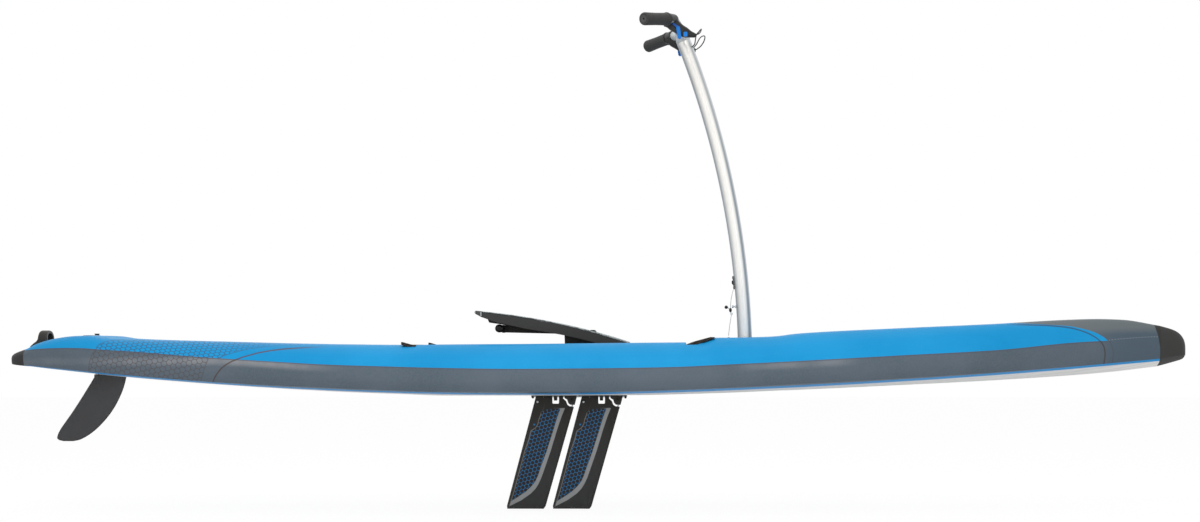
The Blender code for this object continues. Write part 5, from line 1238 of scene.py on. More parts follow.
def smooth_source(mesh):
    """A finder of the smooth normal at a place on a mesh, from the normals of its points."""
    points = [v.co.copy() for v in mesh.vertices]
    normals = [v.normal.copy() for v in mesh.vertices]
    polygons = [tuple(p.vertices) for p in mesh.polygons]
    flats = [p.normal.copy() for p in mesh.polygons]
    tree = BVHTree.FromPolygons(points, polygons)

    def normal_at(place):
        nearest, _, polygon, distance = tree.find_nearest(place)
        if distance >= 2e-5:
            return None
        corners = polygons[polygon]
        if len(corners) > 4:
            return flats[polygon]
        total = Vector((0, 0, 0))
        for corner in corners:
            total += normals[corner] / ((points[corner] - nearest).length + 1e-5)
        return total.normalized()

    return normal_at


def keep_normals(mesh, normal_at):
    """Where a cut mesh still follows its first surface, it keeps that surface's smooth normals."""
    loops = [None] * len(mesh.loops)
    for face in mesh.polygons:
        for index in face.loop_indices:
            smooth = normal_at(mesh.vertices[mesh.loops[index].vertex_index].co)
            kept = smooth is not None and smooth.dot(face.normal) > 0.94
            loops[index] = tuple(smooth if kept else face.normal)
    mesh.normals_split_custom_set(loops)


def flap_notches():
    notches = []
    for lower, _ in FLAPS:
        outline = [(x, z - GAP) for x, z in lower]
        outline[0] = (outline[0][0] - GAP, outline[0][1])
        outline[-1] = (outline[-1][0] + GAP, outline[-1][1])
        outline += [(outline[-1][0], 0.25), (outline[0][0], 0.25)]
        for _, way in SIDES:
            notches.append(slab("notch", outline, way, FLAP_INNER - GAP, 0.45))
    return notches


def make_hull():
    first, last = OFFSETS[0][0], OFFSETS[-1][0]
    stations = [round(x, 5) for x in spread(first, last, 240)]
    hull = loft("hull_skin", [ring_at(x, half_section(x)) for x in stations])
    normal_at = smooth_source(hull.data)
    rear_deck, front_deck = deck_height(RECESS_REAR_X), deck_height(RECESS_FRONT_X)
    recess = [
        (RECESS_REAR_X, rear_deck + 0.12),
        (RECESS_REAR_X, rear_deck),
        (RECESS_REAR_X + RECESS_REAR_RAMP, RECESS_FLOOR),
        (RECESS_FRONT_X - RECESS_FRONT_RAMP, RECESS_FLOOR),
        (RECESS_FRONT_X, front_deck),
        (RECESS_FRONT_X, front_deck + 0.12),
    ]
    well = rounded(WELL_REAR_X, -WELL_HALF_WIDTH, WELL_FRONT_X, WELL_HALF_WIDTH, 0.014)
    seat_z = deck_height(RUDDER_X) - RUDDER_SEAT_DEPTH
    cut(
        hull,
        prism("recess", recess, -RECESS_HALF_WIDTH, RECESS_HALF_WIDTH),
        prism("well", well, -0.05, 0.2, "Z"),
        prism("pocket", rounded(0.738, -0.048, 0.866, 0.048, 0.014), MAST_POCKET_Z, 0.3, "Z"),
        post("socket", MAST_FOOT_X, 0.0637, 0.176, 0.0268),
        post("bearing", RUDDER_X, 0.0, 0.25, 0.0084),
        post("seat", RUDDER_X, seat_z - 0.0033, 0.25, 0.0163),
        *flap_notches(),
    )
    mark_hull(hull.data)
    hull.data.shade_smooth()
    keep_normals(hull.data, normal_at)
    ride(hull, "board", "hull_skin", ["hull"])
    nose = loft("nose_bumper", end_rings(last + GAP, NOSE_TIP, 4.0, 0.35, 5))
    tail = loft("tail_bumper", end_rings(first - GAP, TAIL_TIP, 5.0, 0.4, 1))
    piece(nose, "board", "bumper_rubber", "nose_cap")
    piece(tail, "board", "tail_rubber", "tail_cap")


# Cockpit foam and drive


def make_deck_pad():
    rear, front = RECESS_REAR_X, RECESS_FRONT_X
    rear_deck, front_deck = deck_height(rear), deck_height(front) + GAP
    inset = PAD_THICKNESS / ((rear_deck - RECESS_FLOOR) / RECESS_REAR_RAMP)
    floor = RECESS_FLOOR + GAP
    outline = [
        (rear + inset, rear_deck - PAD_THICKNESS + GAP),
        (rear + RECESS_REAR_RAMP, floor),
        (front - RECESS_FRONT_RAMP, floor),
        (front - GAP, front_deck),
        (front - GAP, front_deck + PAD_THICKNESS * 0.4),
        (front - 0.006, front_deck + PAD_THICKNESS * 0.4),
        (front - RECESS_FRONT_RAMP - 0.001, floor + PAD_THICKNESS),
        (rear + RECESS_REAR_RAMP + 0.001, floor + PAD_THICKNESS),
        (rear + inset, rear_deck),
    ]
    width = RECESS_HALF_WIDTH - 0.003
    pad = prism("deck_foam", outline, -width, width)
    for lower, upper in FLAPS:
        for _, way in SIDES:
            fuse(pad, slab("flap", lower + upper, way, FLAP_INNER, FLAP_OUTER))
    margin = LINER_FLANGE + 0.004
    half = WELL_HALF_WIDTH + margin
    well = rounded(WELL_REAR_X - margin, -half, WELL_FRONT_X + margin, half, 0.02)
    cutters = [prism("pad_well", well, 0.1, 0.2, "Z")]
    hinge = rect(FOOT_HINGE_X - 0.017, 0.1, FOOT_HINGE_X + 0.017, 0.2)
    for _, way in SIDES:
        cutters.append(slab("pad_hinge", hinge, way, FOOT_INNER - 0.002, FOOT_OUTER + 0.004))
    cut(pad, *cutters)
    piece(pad, "board", "deck_foam", "deck_pad", bevel=0.0009)


def foot_top(x):
    """Height of a pedal's walking surface at x, on its long arc."""
    return FOOT_ARC_Z + sqrt(FOOT_ARC_RADIUS**2 - (x - FOOT_ARC_X) ** 2)


def make_foot(side, way):
    depth_at = SteadyCurve(FOOT_DEPTHS, 1)
    rings = []
    for x in spread(FOOT_DEPTHS[0][0], FOOT_DEPTHS[-1][0], 60):
        depth = depth_at.at(x)
        top = foot_top(x) - FOOT_GRIP_THICKNESS - GAP
        low = top - depth
        roof = top - min(FOOT_WALL, depth * 0.55)
        a, b = way * FOOT_INNER, way * FOOT_OUTER
        c, d = way * (FOOT_OUTER - FOOT_WALL), way * (FOOT_INNER + FOOT_WALL)
        section = ((a, low), (a, top), (b, top), (b, low), (c, low), (c, roof), (d, roof), (d, low))
        rings.append([(x, y, z) for y, z in section])
    pad = loft("foot_channel_" + side, rings)
    slope = (ROLLER_Z - FOOT_HINGE_Z) / (FOOT_HINGE_X - ROLLER_X)
    lift = (ROLLER_RADIUS + 0.0006) * hypot(1, slope)
    track = [(x, ROLLER_Z + lift - slope * (x - ROLLER_X)) for x in (0.0163, 0.108)]
    for x in (0.108, 0.075, 0.045, 0.005):
        track.append((x, foot_top(x) - FOOT_GRIP_THICKNESS - FOOT_WALL + 0.002))
    front = foot_top(FOOT_FRONT_X) - FOOT_GRIP_THICKNESS
    neck = [
        (FOOT_FRONT_X - 0.008, front - 0.0015),
        (FOOT_FRONT_X - 0.008, front - 0.0085),
        (FOOT_HINGE_X, FOOT_HINGE_Z - 0.004),
        (FOOT_HINGE_X, FOOT_HINGE_Z + 0.0075),
    ]
    fuse(
        pad,
        slab("track", track, way, ROLLER_INNER - 0.002, ROLLER_OUTER + 0.002),
        slab("neck", neck, way, 0.0685, 0.1655),
        axle("knuckle", FOOT_HINGE_X, FOOT_HINGE_Z, way * 0.068, way * 0.166, 0.009),
    )
    cut(pad, axle("pin", FOOT_HINGE_X, FOOT_HINGE_Z, way * 0.05, way * 0.19, 0.004))
    piece(pad, "foot_" + side, "pedal_black", "foot_pad_" + side, bevel=0.0009)
    make_tread(side, way)
    make_foot_end(side, way)


def tread_drop(x):
    """Depth of the tread's grooves at x: they deepen towards the front."""
    return 0.0021 + 0.0015 * (x - FOOT_CAP_X) / (FOOT_FRONT_X - FOOT_CAP_X)


def strip(xs, top, low):
    """An outline between two lines over the same stations."""
    return [(x, top(x)) for x in xs] + [(x, low(x)) for x in reversed(xs)]


def make_tread(side, way):
    """A thin dark bed with light ribs across it, and a plain brown wedge where it runs down to the deck."""
    body = "foot_" + side
    inner, outer = FOOT_INNER + 0.002, FOOT_OUTER - 0.002
    xs = spread(FOOT_CAP_X, 0.458, 60)
    bed = strip(xs, lambda x: foot_top(x) - tread_drop(x), lambda x: foot_top(x) - FOOT_GRIP_THICKNESS)
    bed = slab("tread_bed_" + side, bed, way, inner, outer)
    piece(bed, body, "tread_bed", "foot_grip_" + side, bevel=0.0004)
    low, high = sorted((way * inner, way * outer))
    ribs = []
    x = FOOT_CAP_X + 0.0006
    while x < 0.456 - RIB_PITCH:
        xs = [x + (RIB_PITCH - RIB_GROOVE) * k / 6 for k in range(7)]
        outline = strip(xs, foot_top, lambda x: foot_top(x) - tread_drop(x) - 0.0001)
        outline[0] = (outline[0][0] + 0.0007, outline[0][1])
        outline[6] = (outline[6][0] - 0.0007, outline[6][1])
        ribs.append(prism("rib", outline, low + 0.0004, high - 0.0004))
        x += RIB_PITCH
    piece(joined("tread_ribs_" + side, ribs), body, "tread_foam", bevel=0.0004)
    xs = spread(0.4583, FOOT_FRONT_X, 6)
    wedge = strip(xs, foot_top, lambda x: foot_top(x) - FOOT_GRIP_THICKNESS)
    piece(prism("tread_toe_" + side, wedge, low, high), body, "tread_toe", bevel=0.0006)


def make_foot_end(side, way):
    rear, front = FOOT_REAR_X, FOOT_CAP_X - GAP
    rear_top, front_top = foot_top(rear), foot_top(front)
    low = front_top - FOOT_GRIP_THICKNESS - GAP - FOOT_DEPTHS[0][1]
    outline = [
        (front, low),
        (front, front_top),
        (rear + 0.006, foot_top(rear + 0.006) + 0.0002),
        (rear + 0.003, rear_top - 0.0006),
        (rear + 0.001, rear_top - 0.0023),
        (rear, rear_top - 0.0048),
        (rear + 0.0008, rear_top - 0.008),
        (rear + 0.004, rear_top - 0.0105),
    ]
    cap = slab("foot_cap_" + side, outline, way, FOOT_INNER, FOOT_OUTER)
    piece(cap, "foot_" + side, "end_cap_alloy", "foot_end_cap_" + side, bevel=0.0012, segments=3)
    first, last = sorted((way * FOOT_INNER, way * FOOT_OUTER))
    for number, at in enumerate((first - 0.0002, last - 0.0004)):
        outline = rect(front - 0.0036, low + 0.0042, front - 0.0012, front_top - 0.0022)
        clip = prism(f"foot_clip_{side}_{number}", outline, at, at + 0.0006)
        piece(clip, "foot_" + side, "stainless", bevel=0.0002)


def make_roller(side, way):
    place = (ROLLER_X, ROLLER_Z)
    rows = ((0, 0.0014), (0.02, 0.0006), (0.06, 0.0), (0.94, 0.0), (0.98, 0.0006), (1, 0.0014))
    profile = [(share, ROLLER_RADIUS - less) for share, less in rows]
    ends = [(ROLLER_X, way * y, ROLLER_Z) for y in (ROLLER_INNER, ROLLER_OUTER)]
    wheel = turned("roller_tyre_" + side, *ends, profile, 64)
    cut(wheel, axle("bore", *place, way * 0.05, way * 0.1, 0.0043))
    piece(wheel, "roller_wheel_" + side, "gloss_black", "roller_" + side)
    tip = way * (ROLLER_OUTER + 0.0034)
    pin = axle("pin_tip_" + side, *place, tip - way * 0.0008, tip, 0.003, 24)
    piece(pin, "crank_" + side, "stainless", bevel=0.0002)


def make_crank(side, way):
    outline = disc_outline(ROLLER_X, ROLLER_Z, 0.0115, 92, 268) + [
        (0.245, 0.1905), (0.2475, 0.12), (0.256, 0.1125), (0.333, 0.1125), (0.341, 0.12),
        (0.341, 0.184), (0.333, 0.1915), (0.28, 0.2055), (0.262, 0.2085),
    ]
    crank = slab("crank_body_" + side, outline, way, CRANK_INNER, CRANK_OUTER)
    drum_ends = (way * 0.0261, way * (CRANK_INNER + 0.002))
    fuse(
        crank,
        axle("pin", ROLLER_X, ROLLER_Z, way * (CRANK_OUTER - 0.006), way * (ROLLER_OUTER + 0.0035), 0.004),
        axle("drum", CRANK_X, CRANK_Z, *drum_ends, 0.028, 64),
        axle("bolt", 0.2655, 0.152, way * (CRANK_OUTER - 0.002), way * (CRANK_OUTER + 0.0025), 0.005),
    )
    face = way * CRANK_OUTER
    panel = ((0.064, 0.215), (0.064, 0.199), (0.165, 0.1962), (0.236, 0.195), (0.236, 0.206), (0.165, 0.212))
    bore = axle("bore", CRANK_X, CRANK_Z, way * 0.02, way * 0.06, SPINDLE_RADIUS + GAP)
    cut(crank, prism("panel", panel, *sorted((face - way * 0.001, face + way * 0.01))), bore)
    piece(crank, "crank_" + side, "drive_black", "crank_arm_" + side, bevel=0.0007)
    plate = [(0.0655, 0.2135), (0.0655, 0.2005), (0.165, 0.1977)]
    plate += [(0.2345, 0.1965), (0.2345, 0.2045), (0.165, 0.2105)]
    cover = prism("crank_cover_" + side, plate, *sorted((face - way * 0.0011, face - way * 0.0002)))
    piece(cover, "crank_" + side, "crank_cover", bevel=0.0003)
    make_roller(side, way)


def make_spindle():
    cap_in = CRANK_OUTER + GAP
    cap_out = cap_in + 0.0035
    rows = (
        (cap_out, 0.0128), (cap_out - 0.0004, 0.0142), (cap_out - 0.0014, 0.016), (cap_in, 0.016),
        (cap_in - 1e-5, SPINDLE_RADIUS),
    )
    profile = mirrored([((cap_out - at) / (2 * cap_out), radius) for at, radius in rows])
    ends = (CRANK_X, -cap_out, CRANK_Z), (CRANK_X, cap_out, CRANK_Z)
    piece(turned("spindle_turned", *ends, profile, 64), "board", "warm_steel", "crank_spindle")
    rows = ((0, 0.024), (0.06, 0.0247), (0.12, 0.025), (0.25, 0.025), (0.38, 0.0228))
    profile = [*rows, (0.5, 0.022), *mirrored(rows)[len(rows) :]]
    idler = turned("idler_wheel", (IDLER_X, 0, 0.136), (IDLER_X, 0, 0.144), profile, 72)
    cut(idler, post("bore", IDLER_X, 0.12, 0.16, 0.0043))
    piece(idler, "idler", "moulded_black", "idler_pulley")


# Fins and rudder


def fin_edges(start, drop):
    """The trailing and leading edge x of a fin at a share of its span below its top."""
    trail = start - FIN_TRAIL_RAKE * drop
    return trail, trail + (FIN_TOP_CHORD + (FIN_TIP_CHORD - FIN_TOP_CHORD) * drop)


def foil(stations, curve, z):
    """A closed ring of a blade at z, with the curve's half thickness on either side."""
    section = [(x, curve.at(at)) for x, at in stations]
    return [(x, y, z) for x, y in section] + [(x, -y, z) for x, y in reversed(section)]


def mark_fin(mesh, start):
    points = points_of(mesh)
    points[:, 0] += FIN_STARTS[0][1] - start
    points[:, 1] = 0.0035
    u, v, _ = pixels_of(points)
    lean = radians(14.1)
    store(
        mesh,
        stripe=inside(FIN_STRIPE, u, v),
        panel=inside(FIN_PANEL, u, v),
        thin_line=signed_to(FIN_LINE, u, v),
        dot=np.hypot(u - FIN_DOT[0], v - FIN_DOT[1]),
        along=(u - 540) * -sin(lean) + (v - 450) * cos(lean),
        across=(u - 540) * cos(lean) + (v - 450) * sin(lean) + 0.6,
        depth=v,
    )


def make_fin(name, start):
    body = "fin_" + name
    rings = []
    for k in range(115):
        drop = k / 114
        trail, lead = fin_edges(start, drop)
        thin = 1 - 0.45 * drop
        tuck = 0.0036 * max(0.0, (drop - 0.975) / 0.025)
        half = FIN_LEAD_HALF * (1 - 0.2 * drop)
        first, last = trail + tuck, lead - tuck
        knots = (
            (first, 0.001 * thin),
            (trail + 0.03, 0.0019 * thin),
            (trail + 0.07, 0.0027 * thin),
            (lead - 0.02, 0.0038 * (1 - 0.3 * drop)),
            (lead - 0.012, half),
            (lead - 0.004, half * 0.85),
            (last, half * 0.2),
        )
        xs = spread(first, last, 32)
        rings.append(foil(list(zip(xs, xs)), SteadyCurve(knots, 1), FIN_TOP_Z - FIN_SPAN * drop))
    blade = loft("fin_skin_" + name, rings)
    fuse(blade, rod("sleeve", (start + 0.001, 0, FIN_AXIS_Z), (start + 0.0858, 0, FIN_AXIS_Z), 0.0058))
    mast = [Vector((fin_edges(start, (FIN_TOP_Z - z) / FIN_SPAN)[1] - 0.0062, 0, z)) for z in FIN_ROD_ENDS]
    openings = [prism("opening", [(start + x, z) for x, z in rows], -0.02, 0.02) for rows in FIN_OPENINGS]
    cut(
        blade,
        *openings,
        rod("shaft", (start - 0.01, 0, FIN_AXIS_Z), (start + 0.14, 0, FIN_AXIS_Z), 0.0035),
        axle("screw", start + 0.006, -0.0212, -0.01, 0.01, 0.0021),
        rod("mast", mast[0], mast[1] + (mast[1] - mast[0]) * 0.004, 0.0028),
    )
    mark_fin(blade.data, start)
    fin_shader("fin_elastomer_" + name)
    piece(blade, body, "fin_elastomer_" + name, "fin_blade_" + name, angle=50)
    rows = ((0, 0.0022), (0.05, 0.0032), (0.24, 0.0034), (0.25, 0.0018))
    ends = [(start + 0.006, y, -0.0212) for y in (-0.0042, 0.0042)]
    head = turned("fin_screw_head_" + name, *ends, mirrored(rows), 32)
    piece(head, body, "stainless", "clew_screw_" + name)
    piece(rod("fin_rod_" + name, *mast, 0.0025, 32), body, "stainless", "fin_mast_" + name)
    refined("fin_sprocket_" + name, body, "drive_black", 0.0004)


def make_rudder():
    rings = []
    trails, leads, halves = (SteadyCurve(RUDDER_ROWS[::-1], column) for column in (1, 2, 3))
    first, last = RUDDER_ROWS[0][0], RUDDER_ROWS[-1][0]
    for k in range(73):
        z = first + (last - first) * sin(pi / 2 * k / 72)
        trail, lead, half = trails.at(z), leads.at(z), halves.at(z)
        knots = ((0.0, 0.0008), *((at, half * share) for at, share in RUDDER_FOIL))
        shares = [(1 - cos(pi * j / 30)) / 2 for j in range(31)]
        ring = foil([(trail + (lead - trail) * at, at) for at in shares], SteadyCurve(knots, 1), z)
        rise = 0.0855 * max(0.0, 1 - k / 14)
        rings.append([(x, y, at - rise * (x - (trail + lead) / 2)) for x, y, at in ring])
    blade = loft("rudder_skin", rings)
    fuse(blade, post("boss", RUDDER_X, 0.022, 0.064, 0.0085))
    cut(blade, post("bore", RUDDER_X, 0.03, 0.1, 0.0053))
    piece(blade, "rudder", "rudder_plastic_blade", "rudder_blade", angle=60)
    deck = deck_height(RUDDER_X) - RUDDER_SEAT_DEPTH
    stock = post("rudder_shaft", RUDDER_X, 0.0305, deck + 0.005, 0.005)
    piece(stock, "rudder", "stainless", "rudder_stock", bevel=0.0004)
    base = deck + RUDDER_SEAT_DEPTH + 0.002 + GAP
    rows = [(0, 0.0058), (0.06, 0.0062), (0.2, 0.006), (0.36, 0.0066)]
    rows += [(0.5, 0.0078), (0.8, 0.008), (0.93, 0.0077), (1, 0.007)]
    knob = turned("rudder_thumb_knob", (RUDDER_X, 0, base), (RUDDER_X, 0, base + 0.0046), rows, 64)
    cut(knob, post("bore", RUDDER_X, base - 0.01, deck + 0.0053, 0.0053))
    piece(knob, "rudder", "moulded_black", "rudder_knob")
    refined("rudder_yoke", "rudder", "stainless", 0.0003)
    refined("rudder_tube", "board", "moulded_black", 0.0003)


# Tail handle, mast and handlebar


def make_tail_handle():
    stations = (-1.356, -1.364, -1.372, -1.379, -1.386, -1.393, -1.399)
    base = [(x, deck_height(max(x, OFFSETS[0][0]), 0.03) + 0.0008) for x in stations]
    plate = base + [(x, z + 0.0035) for x, z in reversed(base)]
    handle = prism("grab_handle", plate, -HANDLE_HALF, HANDLE_HALF)
    foot = base + [
        (-1.4085, 0.1478), (-1.41, 0.1508), (-1.405, 0.1556), (-1.4, 0.16),
        (-1.3905, 0.1672), (-1.387, 0.173), (-1.364, 0.174),
    ]
    for _, way in SIDES:
        fuse(handle, slab("foot", foot, way, HANDLE_HALF - 0.01, HANDLE_HALF))
    rings = []
    foot_z = 0.166
    for k in range(49):
        turn = pi * k / 48
        lift = sin(turn)
        across = -cos(turn)
        even = copysign(abs(across) ** 0.8, across)
        y0, z0 = HANDLE_HALF * even, foot_z + (HANDLE_TOP - foot_z) * lift**0.8
        y1, z1 = (HANDLE_HALF - 0.01) * even, foot_z + (HANDLE_TOP - 0.009 - foot_z) * lift**0.8
        half = 0.0148 - 0.002 * lift
        ring = [(half * x, a) for x, a in HANDLE_SECTION]
        rings.append([(HANDLE_X + x, y1 + (y0 - y1) * a, z1 + (z0 - z1) * a) for x, a in ring])
    fuse(handle, loft("arch", rings))
    piece(handle, "board", "handle_black", "tail_handle", bevel=0.001, angle=40)


def mast_x(z):
    """The mast's centreline: upright at its foot, then a long arc leaning aft."""
    rise = max(z - MAST_LEVEL_Z, 0.0)
    return MAST_FOOT_X + sqrt(MAST_BEND_RADIUS**2 - rise**2) - MAST_BEND_RADIUS


def leaning_ring(centre, lean, radius):
    ahead = Vector((cos(lean), 0, sin(lean)))
    return [centre + Vector((0, radius * c, 0)) + ahead * (radius * s) for c, s in around(72)]


def mast_ring(z, radius):
    lean = asin(max(z - MAST_LEVEL_Z, 0.0) / MAST_BEND_RADIUS)
    return leaning_ring(Vector((mast_x(z), 0, z)), lean, radius)


def cable_hole(side, way, index, reach):
    """A rod that opens the way for a cable along one span of its route."""
    start, end = (Vector((x, way * y, z)) for x, y, z in CABLE_ROUTES[side][index : index + 2])
    ahead = (end - start).normalized() * reach
    return rod("cable_hole", start - ahead, end + ahead, CABLE_RADIUS + 0.0006, 24)


def make_mast():
    levels = [MAST_BOTTOM_Z, MAST_LEVEL_Z] + spread(0.1, MAST_TOP_Z, 60)
    outer = [mast_ring(z, MAST_RADIUS) for z in levels[:-1]]
    outer += [mast_ring(MAST_TOP_Z - 0.0008, MAST_RADIUS), mast_ring(MAST_TOP_Z, MAST_RADIUS - 0.0006)]
    inner = [mast_ring(z, MAST_BORE) for z in levels]
    mast = loft("mast_skin", outer + inner[::-1], hollow=True)
    cut(mast, *(cable_hole(side, way, len(CABLE_ROUTES[side]) - 3, 0.004) for side, way in SIDES))
    store(mast.data, share=[(x - mast_x(z)) / MAST_RADIUS for x, y, z in points_of(mast.data)])
    piece(mast, "board", "mast_alloy", "mast_tube", angle=40)


def make_mast_base():
    low = MAST_POCKET_Z + GAP
    base = prism("mast_step", rounded(0.7386, -0.0474, 0.8654, 0.0474, 0.0135), low, low + 0.006, "Z")
    fuse(base, post("socket", MAST_FOOT_X, 0.064, low + 0.001, MAST_RADIUS + GAP + 0.004, 64))
    levels = (0.068, MAST_LEVEL_Z, 0.12, 0.15, 0.18)
    cut(base, loft("bore", [mast_ring(z, MAST_RADIUS + GAP) for z in levels]))
    piece(base, "board", "moulded_black", "mast_base", bevel=0.0008)
    for number, (x, y) in enumerate(((0.749, -0.036), (0.749, 0.036), (0.855, -0.036), (0.855, 0.036))):
        ends = (x, y, low + 0.0055), (x, y, low + 0.0072)
        screw = turned(f"step_screw_{number}", *ends, ((0, 0.0034), (0.6, 0.0034), (1, 0.0026)), 24)
        piece(screw, "board", "stainless")
    low += 0.006 + GAP
    outer = disc_outline(0, low + 0.003, 0.0055, 0, 180)
    inner = disc_outline(0, low + 0.003, 0.0035, 0, 180)
    staple = [(-0.0055, low), (-0.0095, low), (-0.0095, low + 0.0015), (-0.0055, low + 0.0015)]
    foot = [(0.0055, low + 0.0015), (0.0095, low + 0.0015), (0.0095, low), (0.0055, low), (0.0035, low)]
    outline = foot + inner + [(-0.0035, low)] + staple + outer[::-1]
    eye = loft("deck_eye", [[(x, y, z) for y, z in outline] for x in (0.7503, 0.7563)])
    piece(eye, "board", "stainless", "lanyard_eye", bevel=0.0004)


def make_mast_head():
    bar = Vector(BAR_ROUTE[0])
    across = Vector((0, 0.03, 0))
    head = rod("head_sleeve", bar - across, bar + across, BAR_RADIUS + 0.0045, 72)
    top = MAST_TOP_Z
    collar = ((top + GAP, 0.0005), (top + 0.001, 0.0), (top + 0.009, 0.0), (top + 0.01, 0.0006))
    rings = [mast_ring(top + 0.008, 0.0205)]
    foot = Vector((mast_x(top + 0.008), 0, top + 0.008))
    radius_at = SteadyCurve(((0.0, 0.0205), (0.35, 0.019), (0.7, 0.0165), (1.0, 0.015)), 1)
    for k in range(1, 13):
        share = k / 12
        lean = asin((top - MAST_LEVEL_Z) / MAST_BEND_RADIUS) * (1 - share)
        rings.append(leaning_ring(foot.lerp(bar, share), lean, radius_at.at(share)))
    fuse(
        head,
        loft("collar", [mast_ring(z, MAST_RADIUS - less) for z, less in collar]),
        loft("neck", rings),
        loft("spigot", [mast_ring(z, MAST_BORE - GAP) for z in (top - 0.032, top - 0.015, top + 0.002)]),
    )
    cut(
        head,
        loft("bore", bar_rings(BAR_RADIUS + GAP, 0.075)),
        loft("hollow", [mast_ring(z, 0.015) for z in (top - 0.04, top - 0.003)]),
        prism("slot", rect(mast_x(top) - 0.002, top - 0.04, 0.7, top - 0.0065), -0.0155, 0.0155),
    )
    piece(head, "board", "cast_alloy", "mast_head", bevel=0.0006)


def bar_rings(radius, reach=None, way=0):
    """Rings along the handlebar: all of it, or within a reach of the centre, or beyond one on one side."""
    port = [Vector(p) for p in BAR_ROUTE]
    starboard = [Vector((p.x, -p.y, p.z)) for p in reversed(port[1:])]
    route = smooth_route(starboard + port, 6)
    rings = swept_rings(route, radius, 56)
    if reach is None:
        return rings
    if way == 0:
        return [ring for place, ring in zip(route, rings) if abs(place.y) < reach]
    for end, before in ((-1, -2), (0, 1)):
        past = (route[end] - route[before]).normalized() * GAP
        rings[end] = [p + past for p in rings[end]]
    return [ring for place, ring in zip(route, rings) if place.y * way > reach]


def on_side(place, way):
    return Vector((place[0], way * place[1], place[2]))


def make_grip(side, way):
    inner, outer = on_side(GRIP_INNER, way), on_side(GRIP_OUTER, way)
    length = (outer - inner).length
    profile = [(share, GRIP_RADIUS + more) for share, more in GRIP_PROFILE]
    groove = 1 - 0.0009 / length
    profile += [(groove, GRIP_RADIUS - 0.0052), (groove, GRIP_RADIUS - 0.0066), (1, GRIP_RADIUS - 0.0072)]
    profile += [(1, 0.006), (1 - 0.0006 / length, 0.0052)]
    grip = turned("grip_skin_" + side, inner, outer, profile, 72)
    along = (outer - inner).normalized()
    bore = loft("bore", bar_rings(BAR_RADIUS + GAP, 0.05, way))
    cut(grip, bore, rod("hole", outer - along * 0.004, outer + along * 0.004, 0.0022, 24))
    points = np.array([v.co for v in grip.data.vertices]) - np.array(inner)
    share = points @ np.array(along)
    radius = np.linalg.norm(points - np.outer(share, np.array(along)), axis=1) * 1000
    store(grip.data, end_radius=np.where(share > length - 0.0045, radius, 50.0))
    piece(grip, "board", "grip_rubber", "grip_" + side, angle=40)


def hood_ring(x, underside, top, half_width, way):
    """A squarish ring of a lever's hood."""
    share = (x - HOOD_ROWS[0][0]) / (HOOD_ROWS[-1][0] - HOOD_ROWS[0][0])
    out = HOOD_REAR_Y + (HOOD_NOSE_Y - HOOD_REAR_Y) * share
    middle, half_height = (underside + top) / 2, (top - underside) / 2
    ring = []
    for k in range(64):
        turn = tau * (k + 0.5) / 64
        across = copysign(abs(cos(turn)) ** 0.75, cos(turn)) * half_width
        up = copysign(abs(sin(turn)) ** 0.75, sin(turn)) * half_height
        ring.append((x, way * out + across, middle + up))
    return ring


def make_hood(side, way):
    columns = [SteadyCurve(HOOD_ROWS, column) for column in (1, 2, 3)]
    xs = spread(HOOD_ROWS[0][0], HOOD_ROWS[-1][0], 56)
    hood = loft("hood_skin_" + side, [hood_ring(x, *(column.at(x) for column in columns), way) for x in xs])
    bore = loft("bore", bar_rings(BAR_RADIUS + GAP, 0.05, way))
    inner = on_side(GRIP_INNER, way)
    back = (inner - on_side(GRIP_OUTER, way)).normalized()
    fuse(hood, rod("bar_clamp", on_side(CLAMP_INNER, way), inner, CLAMP_RADIUS, 72))
    face = LEVER_DISTANCE - LEVER_INSET
    groove = ((0.5775, 1.127), (0.581, 1.1305), (0.6065, 1.1055), (0.603, 1.102))
    cut(
        hood,
        bore,
        rod("grip_room", inner + back * 0.0006, inner - back * 0.05, GRIP_RADIUS + 0.0035),
        slab("lever_room", rect(0.574, 1.07, 0.615, 1.1352), way, face, face + 0.02),
        slab("button_room", rect(0.6123, 1.089, 0.6267, 1.1054), way, face - 0.008, face + 0.02),
        axle("pivot", LEVER_X, LEVER_Z, way * (face - 0.008), way * (face + 0.01), 0.0031),
        cable_hole(side, way, 0, 0.002),
        slab("groove", groove, way, face - 0.0022, face + 0.001),
    )
    piece(hood, "board", "hood_black", "lever_hood_" + side, bevel=0.0006, angle=40)
    # The clamp's screw on the hood's inner face
    ends = [(0.587, way * at, 1.1105) for at in (0.1478 - 0.0006, 0.1478 + 0.004)]
    rows = ((0, 0.002), (0.15, 0.0028), (1, 0.0028))
    piece(turned("clamp_screw_" + side, *ends, rows, 32), "board", "stainless")


